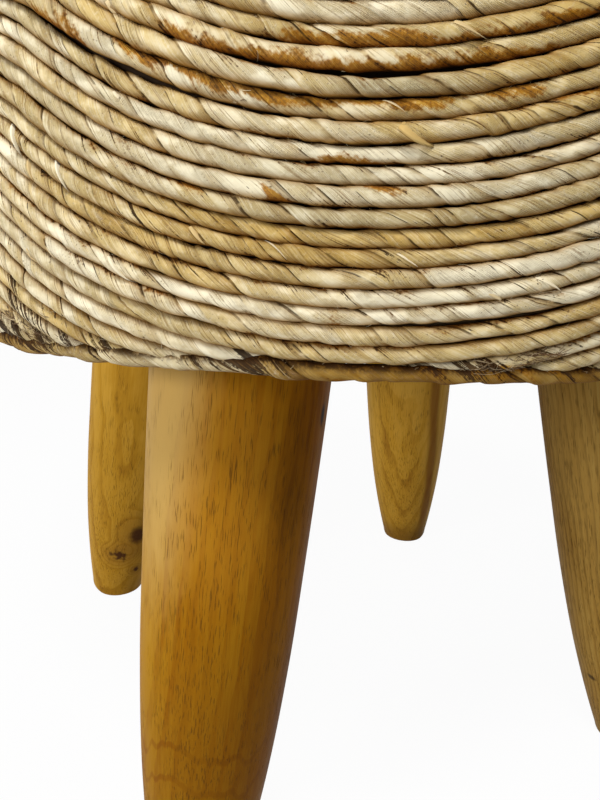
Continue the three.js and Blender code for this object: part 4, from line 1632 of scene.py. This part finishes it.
# %% Growth rings
ring_waver = 14 * mm
knot_reach = 2.6
knot_edge_waver = 0.5
knot_push = 11 * mm
fleck_in_rings = 0.35
late_start, late_full, late_end = 0.45, 0.9, 0.93


def knot_bulges(finish, place, knots, wave):
    """For each knot 1 at its middle and 0 beyond the wood that it disturbs."""
    return [spot(finish, place, centre, tuple(knot_reach * half for half in half_size),
                 (wave - 0.5) * knot_edge_waver)
            for centre, half_size, _ in knots]


def distance_from_pith(parts, pith, wave, bulges):
    """How far a place is from the pith, with wavy rings that bulge at the knots."""
    across, beside = parts[0] - pith[0], parts[1] - pith[1]
    far = (across * across + beside * beside).math("SQRT") + (wave - 0.5) * ring_waver
    for bulge in bulges:
        far = far + bulge * knot_push
    return far


def late_wood(far, ring_width, fleck):
    """1 in the dark part of each ring."""
    rings = far / ring_width + fleck * fleck_in_rings
    year = rings - rings.math("FLOOR")
    return year.between(late_start, late_full) * (1 - year.between(late_end, 1.0))


print("late wood: from", late_start, "to", late_end, "of each ring")

# %% [markdown]
# Low on the front left leg the wood shows a stack of level wavy lines, like contour lines on
# a map. They are a sine wave up the leg, pushed up and down by noise, and only a band above
# the foot has them.

# %% Whorls above the foot
whorl_size, whorl_width, whorl_waver = 2.4 * mm, 13 * mm, 13
whorl_line = (0.7, 1.0)
whorls_begin, whorls_end = (50 * mm, 62 * mm), (82 * mm, 92 * mm)


def whorls_of(finish, parts, shift):
    """1 on the wavy lines above the foot, and 0 beside them."""
    x, y, z = parts
    waver = finish.noise(finish.place(x / whorl_width, y / whorl_width, shift), 1.0)
    lines = (z / whorl_size + waver * whorl_waver).math("SINE").between(*whorl_line)
    return lines * (z.between(*whorls_begin) * (1 - z.between(*whorls_end)))


print("whorls between", round(whorls_begin[0] / mm), "and", round(whorls_end[1] / mm), "mm")

# %% [markdown]
# Marks are laid over the wood's own colour one after the other: first the patches, where it is
# worn or stained and, on the front left leg, where light and shade are painted on, then the
# pores, which are short dark dashes along the grain, and last the knots, each with a brown
# shadow and a dark, ragged heart.

# %% Marks in the wood
patch_edge_waver = 0.25
pore_cut = (0.58, 0.68)
pores_where = (0.3, 0.6)
pore_strength, pore_colour = 0.6, (0.06, 0.026, 0.005)
ragged_size = 3.5 * mm
knot_shadow, knot_shadow_colour = 0.35, (0.16, 0.065, 0.012)
knot_heart, knot_heart_colour = 0.92, (0.045, 0.014, 0.006)


def pores_of(grain):
    """1 in the pores, which are crowded in some places and missing in others."""
    crowded = (grain["broad"] + grain["fleck"] - 0.5).between(*pores_where)
    return grain["pores"].between(*pore_cut) * crowded


def with_patches(finish, place, colour, patches, fleck):
    """The colour with patches. Each has a middle, its half sizes, a colour and a strength."""
    for centre, half_size, tint, strength in patches:
        mask = spot(finish, place, centre, half_size, (fleck - 0.5) * patch_edge_waver)
        colour = finish.blend(mask * strength, colour, tint)
    return colour


def with_knots(finish, place, colour, knots, bulges):
    """The colour with knots. Each has a middle, its half sizes and how ragged it is."""
    ragged = finish.noise(place, 1 / ragged_size)
    for bulge, (centre, half_size, rough) in zip(bulges, knots):
        heart = spot(finish, place, centre, half_size, (ragged - 0.5) * rough)
        colour = finish.blend(bulge * knot_shadow, colour, knot_shadow_colour)
        colour = finish.blend(heart * knot_heart, colour, knot_heart_colour)
    return colour


print("marks in the wood: patches, pores and knots")

# %% [markdown]
# All of it comes together in one finish. A single value, the tone, runs from pale to dark
# along a ramp of three colours: the rings and the layers of grain push it up and down, and
# towards the bark, far from the pith, the wood is paler. The worn wood hardly shines, so its
# specular level is low, and the bump sinks the pores.

# %% Wood finish
middle_tone = 0.4
fine_in_tone, broad_in_tone, fleck_in_tone = 0.5, 1.3, 0.2
weather_cut, weather_strength = (0.45, 0.7), 0.3
wood_roughness, fine_roughness, pore_roughness = 0.42, 0.14, 0.2
fine_relief, late_relief = 0.4, 0.15
wood_relief, wood_bump = 0.12 * mm, 0.8


def wood_finish(name, colours, pith, ring_width, late_depth, paler_out, shift,
                knots=(), patches=(), whorls=0.0):
    """Ringed wood in three colours. The pith is given by its place beside the leg, late_depth
    is how dark the late wood is, paler_out how much paler the wood gets away from the pith."""
    finish = Finish(name)
    place = finish.add("Attribute", {"attribute_name": "grain_place"}, output="Vector")
    parts = finish.parts(place)
    grain = grain_of(finish, parts, shift)
    fine, broad, fleck = grain["fine"], grain["broad"], grain["fleck"]
    bulges = knot_bulges(finish, place, knots, grain["wave"])
    far = distance_from_pith(parts, pith, grain["wave"], bulges)
    late = late_wood(far, ring_width, fleck)
    pore = pores_of(grain)

    paler = (far - math.hypot(*pith)) * (paler_out / leg_top_radius)
    tone = (late * late_depth + (fine - 0.5) * fine_in_tone + (broad - 0.5) * broad_in_tone
            + whorls_of(finish, parts, shift) * whorls + (fleck - 0.5) * fleck_in_tone
            + middle_tone - paler)
    colour = finish.add("ValToRGB", {"stops": list(zip((0.0, 0.5, 1.0), colours))}, [tone])
    weathered = grain["weather"].between(*weather_cut) * weather_strength
    colour = finish.blend(weathered, colour, colours[0])
    colour = with_patches(finish, place, colour, patches, fleck)
    colour = finish.blend(pore * pore_strength, colour, pore_colour)
    colour = with_knots(finish, place, colour, knots, bulges)
    return finish.surface(
        base_color=colour, specular_ior_level=0.03,
        roughness=wood_roughness + fine * fine_roughness + pore * pore_roughness,
        normal=finish.bump(fine * fine_relief - pore + late * late_relief, wood_relief, wood_bump))


print("wood finish ready")

# %% [markdown]
# The legs differ. The front left one is honey brown, with painted light on the side that faces
# left and on its upper part, painted shade towards the floor, and a small dark dent near the
# seat. The front right one is olive and has a small nick. The back left one is straw yellow
# with three knots near the foot. The back right one is the palest, with a dark streak down its
# side and a dark foot. Places on a leg are in millimetres in its own frame, from the middle of
# its foot.

# %% Front legs
honey = ((0.345, 0.168, 0.006), (0.225, 0.082, 0.001), (0.135, 0.044, 0.001))
olive_wood = ((0.36, 0.235, 0.06), (0.26, 0.145, 0.028), (0.12, 0.06, 0.012))
# Painted light and shade on the front left leg: a paler patch on its left side, a brighter one on its
# upper part, and a darker one towards the floor.
painted_light_left = ((34, 12, 232), (28, 28, 118), (0.49, 0.33, 0.115), 0.64)
painted_light_upper = ((12, 33, 186), (26, 26, 60), (0.38, 0.165, 0.012), 0.4)
painted_shade_low = ((-10, 20, 60), (60, 60, 105), (0.115, 0.038, 0.001), 0.5)
dent = ((-26.5, 24.6, 215), (2.6, 2.6, 6), (0.012, 0.006, 0.003), 1.0)
nick = ((0, -25.5, 45), (4, 4, 2), (0.02, 0.01, 0.005), 0.8)
wood_of = {
    "front_left": wood_finish(
        "wood_front_left", honey, pith=(-57 * mm, 18 * mm), ring_width=5.5 * mm, late_depth=0.18,
        paler_out=0.34, shift=1.0, patches=[painted_light_left, painted_light_upper, painted_shade_low, dent], whorls=0.28),
    "front_right": wood_finish(
        "wood_front_right", olive_wood, pith=(-40 * mm, -20 * mm), ring_width=3.4 * mm,
        late_depth=0.3, paler_out=0.1, shift=7.0, patches=[nick]),
}
print("nodes in the wood:", [len(wood.node_tree.nodes) for wood in wood_of.values()])

# %% Back legs
straw_wood = ((0.505, 0.28, 0.034), (0.385, 0.195, 0.014), (0.22, 0.09, 0.007))
pale_wood = ((0.58, 0.34, 0.055), (0.46, 0.245, 0.024), (0.24, 0.1, 0.01))
foot_knots = [((-27.1, -4.8, 62), (8.6, 8.6, 10.4), 0.4), ((-24.4, 6.5, 43), (7, 7, 5.5), 2.0),
              ((-21.6, -7.9, 28), (3, 3, 3), 1.0)]
streak_places = [(3.2, -36, 220), (5.3, -33.3, 150), (6.8, -29.5, 90), (6.5, -24.1, 40)]
streak = [(middle, (7, 7, 62), (0.2, 0.07, 0.008), 0.75) for middle in streak_places]
dark_foot = ((0, 0, -2), (80, 80, 32), (0.12, 0.05, 0.008), 0.65)
wood_of["back_left"] = wood_finish(
    "wood_back_left", straw_wood, pith=(52 * mm, -26 * mm), ring_width=5.2 * mm,
    late_depth=0.3, paler_out=0.1, shift=13.0, knots=foot_knots)
wood_of["back_right"] = wood_finish(
    "wood_back_right", pale_wood, pith=(27 * mm, 42 * mm), ring_width=4.0 * mm,
    late_depth=0.26, paler_out=0.1, shift=19.0, patches=[*streak, dark_foot])
for corner, leg in legs.items():
    leg.data.materials.append(wood_of[corner])
print("wood:", len(wood_of), "legs")

# %% [markdown]
# ## Inside the seat
#
# Between two turns the eye meets what lies under the rope, so the dark slits need something
# dark in them. A black surface would do, but it would look like a hole in other light. So the
# filling and the pad are covered in a dark brown lining instead, which is painted shade for the
# slits. Its weave is two sine waves that cross, with noise that mottles it.

# %% Dark lining as painted shade
weave_frequency = 2600
mottle_frequency = 40.0
# Painted shade: the lining's dark browns stand in for the shade in the slits.
shade_lining_dark, shade_lining_mottle = (0.02, 0.011, 0.006), (0.045, 0.026, 0.014)


def shade_lining_finish():
    finish = Finish("dark_lining_painted_shade")
    place = finish.add("TexCoord", output="Object")
    x, y, z = [(part * weave_frequency).math("SINE") for part in finish.parts(place)]
    weave = x * z + y * 0.5
    mottled = finish.noise(place, mottle_frequency, 3.0)
    colour = finish.blend(mottled, shade_lining_dark, shade_lining_mottle)
    return finish.surface(base_color=colour, roughness=0.95, specular_ior_level=0.1,
                          normal=finish.bump(weave, 0.1 * mm, 0.5))


shade_lining = shade_lining_finish()
print("lining:", shade_lining.name)

# %% [markdown]
# Both pieces are turned shapes that follow the seat's own outline, a little inside the rope.
# They could be spun with a modifier, but here the outline is at hand as numbers, so the rings
# are written down and closed with a fan of triangles at either end. The filling has a small
# bevel at its edges, and the pad stands a little higher in its middle.

# %% Turned pieces
lining_sides = 144


def lathe_piece(name, outline):
    """A closed turned piece from rows of radius and height, whose ends lie on the axis."""
    radius, height = np.array(outline).T
    angle = np.arange(lining_sides) / lining_sides * full_turn
    ring_radius, ring_height = radius[1:-1], height[1:-1]
    points = np.stack([ring_radius[:, None] * np.cos(angle), ring_radius[:, None] * np.sin(angle),
                       np.repeat(ring_height[:, None], lining_sides, axis=1)], axis=-1)
    faces, _, _ = tube_faces(len(ring_radius), lining_sides, 0)
    count = points.shape[0] * lining_sides
    side = np.arange(lining_sides)
    low = np.stack([np.full(lining_sides, count), (side + 1) % lining_sides, side], axis=1)
    last = count - lining_sides
    high = np.stack([np.full(lining_sides, count + 1), last + side,
                     last + (side + 1) % lining_sides], axis=1)
    ends = np.array([(0, 0, height[0]), (0, 0, height[-1])])
    return mesh_object(name, np.concatenate([points.reshape(-1, 3), ends]),
                       [faces[:, ::-1], low, high])


print("turned pieces have", lining_sides, "sides")

# %% Filling and pad
core_clearance = 1 * mm
lining_offset = -half_rope - core_clearance
filling_gap = 0.05 * mm
soft_edge = 2 * mm
crown_rise = 0.6 * mm
side_steps, pad_steps = 400, 300
pad_middle = flat_radius / 6


def side_outline(low, high):
    """The seat's side between two levels, just inside the rope."""
    radius, height, _ = seat_point(np.linspace(0, rim_end, side_steps), lining_offset)
    inside = (height > low) & (height < high)
    radius, height = radius[inside][::-1], height[inside][::-1]
    return [(radius[0], low), *zip(radius, height), (radius[-1], high)]


def make_filling():
    low, high = (corner.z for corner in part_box("drum_core"))
    rows = [(radius - filling_gap, height) for radius, height in side_outline(low, high)]
    rows[0] = (rows[0][0] - soft_edge, low)
    rows[-1] = (rows[-1][0] - soft_edge, high)
    return lathe_piece("filling_in_shade_lining", [(0, low), *rows, (0, high)])


def make_pad():
    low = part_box("seat_pad")[0].z
    radius, height, _ = seat_point(np.linspace(pad_middle, rim_end, pad_steps), lining_offset)
    keep = height > low
    crown = crown_rise * np.cos(np.clip(radius / flat_radius, 0, 1) * quarter_turn)
    rows = list(zip(radius[keep], height[keep] + crown[keep]))[::-1]
    top = top_level + lining_offset + crown_rise
    return lathe_piece("pad_in_shade_lining", [(0, low), (rows[0][0] - soft_edge, low), *rows, (0, top)])


filling, pad = make_filling(), make_pad()
for piece, node in ((filling, "drum_core"), (pad, "seat_pad")):
    piece.data.materials.append(shade_lining)
    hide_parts(node)
    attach(piece, "root")
print("filling and pad made")

# %% [markdown]
# Boards and fastenings keep their CAD shapes and get new finishes. Plywood is stretched noise
# for the grain of its face, and thin darker layers that show at the edge. They are bands
# across the height, so they need no map. Zinc plate is a metal with a cloudy colour and
# roughness.

# %% Plywood and zinc
ply_thickness = 1.5 * mm
ply_edge = 0.2
ply_strength, ply_colour = 0.16, (0.3, 0.18, 0.08)
zinc_clouds = 900.0


def plywood_finish():
    finish = Finish("bare_plywood")
    place = finish.add("TexCoord", output="Object")
    x, y, z = finish.parts(place)
    grain = finish.noise(finish.place(x * 14, y * 420, z * 60), 1.0, 3.0)
    figure = finish.noise(finish.place(x * 3, y * 24, z), 1.0)
    face = finish.blend(grain * 0.5 + figure * 0.5, (0.62, 0.44, 0.25), (0.42, 0.27, 0.13))
    ply = (z * (math.pi / ply_thickness)).math("SINE").between(-ply_edge, ply_edge)
    colour = finish.blend(ply * ply_strength, face, ply_colour)
    return finish.surface(base_color=colour, roughness=0.72,
                          normal=finish.bump(grain, 0.15 * mm, 0.6))


def zinc_finish():
    finish = Finish("zinc_plate")
    cloud = finish.noise(finish.add("TexCoord", output="Object"), zinc_clouds)
    return finish.surface(base_color=finish.blend(cloud, (0.6, 0.62, 0.64), (0.42, 0.44, 0.47)),
                          metallic=1.0, roughness=0.28 + cloud * 0.2)


plywood, zinc = plywood_finish(), zinc_finish()
for name, node in nodes.items():
    if name in ("base_board", "top_board"):
        node.data.materials.clear()
        node.data.materials.append(plywood)
    elif name.startswith(("hanger_bolt", "washer", "nut")):
        node.data.materials.clear()
        node.data.materials.append(zinc)
print("boards and fastenings dressed")

# %% [markdown]
# ## Floor, background and light
#
# The photograph has a plain white background. A bright world would give one too, but it would
# wash out the shades on the stool. So the floor and the world are white only for what looks
# straight at them: the camera, and reflections and glass. The Light Path node tells those
# rays apart. For all other rays the world is dim and the floor is matt paint. The floor also
# keeps a small share of the paint for the camera, and with it a soft shadow under the legs.

# %% Floor
floor_size = 8.0
floor_glow_share = 0.96
floor_paint = (0.8, 0.8, 0.8)
white = (1.0, 1.0, 1.0)


def seen_directly(finish):
    """1 for rays from the camera, and in reflections and glass."""
    path = finish.add("LightPath").socket.node
    camera_ray, glossy, through = [
        Wire(finish, path.outputs[key])
        for key in ("Is Camera Ray", "Is Glossy Ray", "Is Transmission Ray")]
    return camera_ray.math("MAXIMUM", glossy.math("MAXIMUM", through))


def make_floor():
    finish = Finish("floor_white")
    glow = finish.add("Emission", {}, {"Color": white, "Strength": 1.0})
    matt = finish.add("BsdfDiffuse", {}, {"Color": floor_paint})
    mix = finish.add("MixShader", {}, [seen_directly(finish) * floor_glow_share, matt, glow])
    finish.add("OutputMaterial", {}, {"Surface": mix})
    half = floor_size / 2
    points = np.array([(-half, -half, 0), (half, -half, 0), (half, half, 0), (-half, half, 0)])
    floor = mesh_object("floor", points, [np.array([[0, 1, 2, 3]])], smooth=False)
    floor.data.materials.append(finish.owner)
    return floor


floor = make_floor()
print("floor:", round(floor.dimensions.x, 1), "m wide")

# %% [markdown]
# The world's colour and strength are its light, so it takes two backgrounds: a dim one that
# lights the stool from all round, and a white one that is only seen. The photograph's shadows
# are soft, so the lamps are large discs. One stands low at the left and models the rope and
# the legs, and the other hangs high in front, a little to the left, and lights the shoulder.

# %% World and lamps
fill_strength = 0.2
seat_middle = (0, 0, 0.25)


def make_world():
    world = bpy.data.worlds.new("studio")
    bpy.context.scene.world = world
    finish = Finish("studio", world)
    fill = finish.add("Background", {}, {"Color": white, "Strength": fill_strength})
    backdrop = finish.add("Background", {}, {"Color": white, "Strength": 1.0})
    mix = finish.add("MixShader", {}, [seen_directly(finish), fill, backdrop])
    finish.add("OutputWorld", {}, {"Surface": mix})


def make_lamp(name, place, size, power):
    """A round lamp that shines at the middle of the seat, with its power in watts."""
    data = bpy.data.lights.new(name, "AREA")
    data.shape = "DISK"
    data.size = size
    data.energy = power
    lamp = bpy.data.objects.new(name, data)
    lamp.location = place
    towards = Vector(seat_middle) - Vector(place)
    lamp.rotation_euler = towards.to_track_quat("-Z", "Y").to_euler()
    bpy.context.scene.collection.objects.link(lamp)
    return lamp


make_world()
low_lamp = make_lamp("key", (-1.65, -0.5, 0.7), size=0.5, power=19)
high_lamp = make_lamp("top", (-0.5, -0.95, 2.0), size=0.6, power=28)
print("lamps:", low_lamp.name, "and", high_lamp.name)

# %% [markdown]
# ## Finish
#
# The colours are shown as they are, without a film look.

# %% Finish
bpy.context.scene.view_settings.view_transform = "Standard"
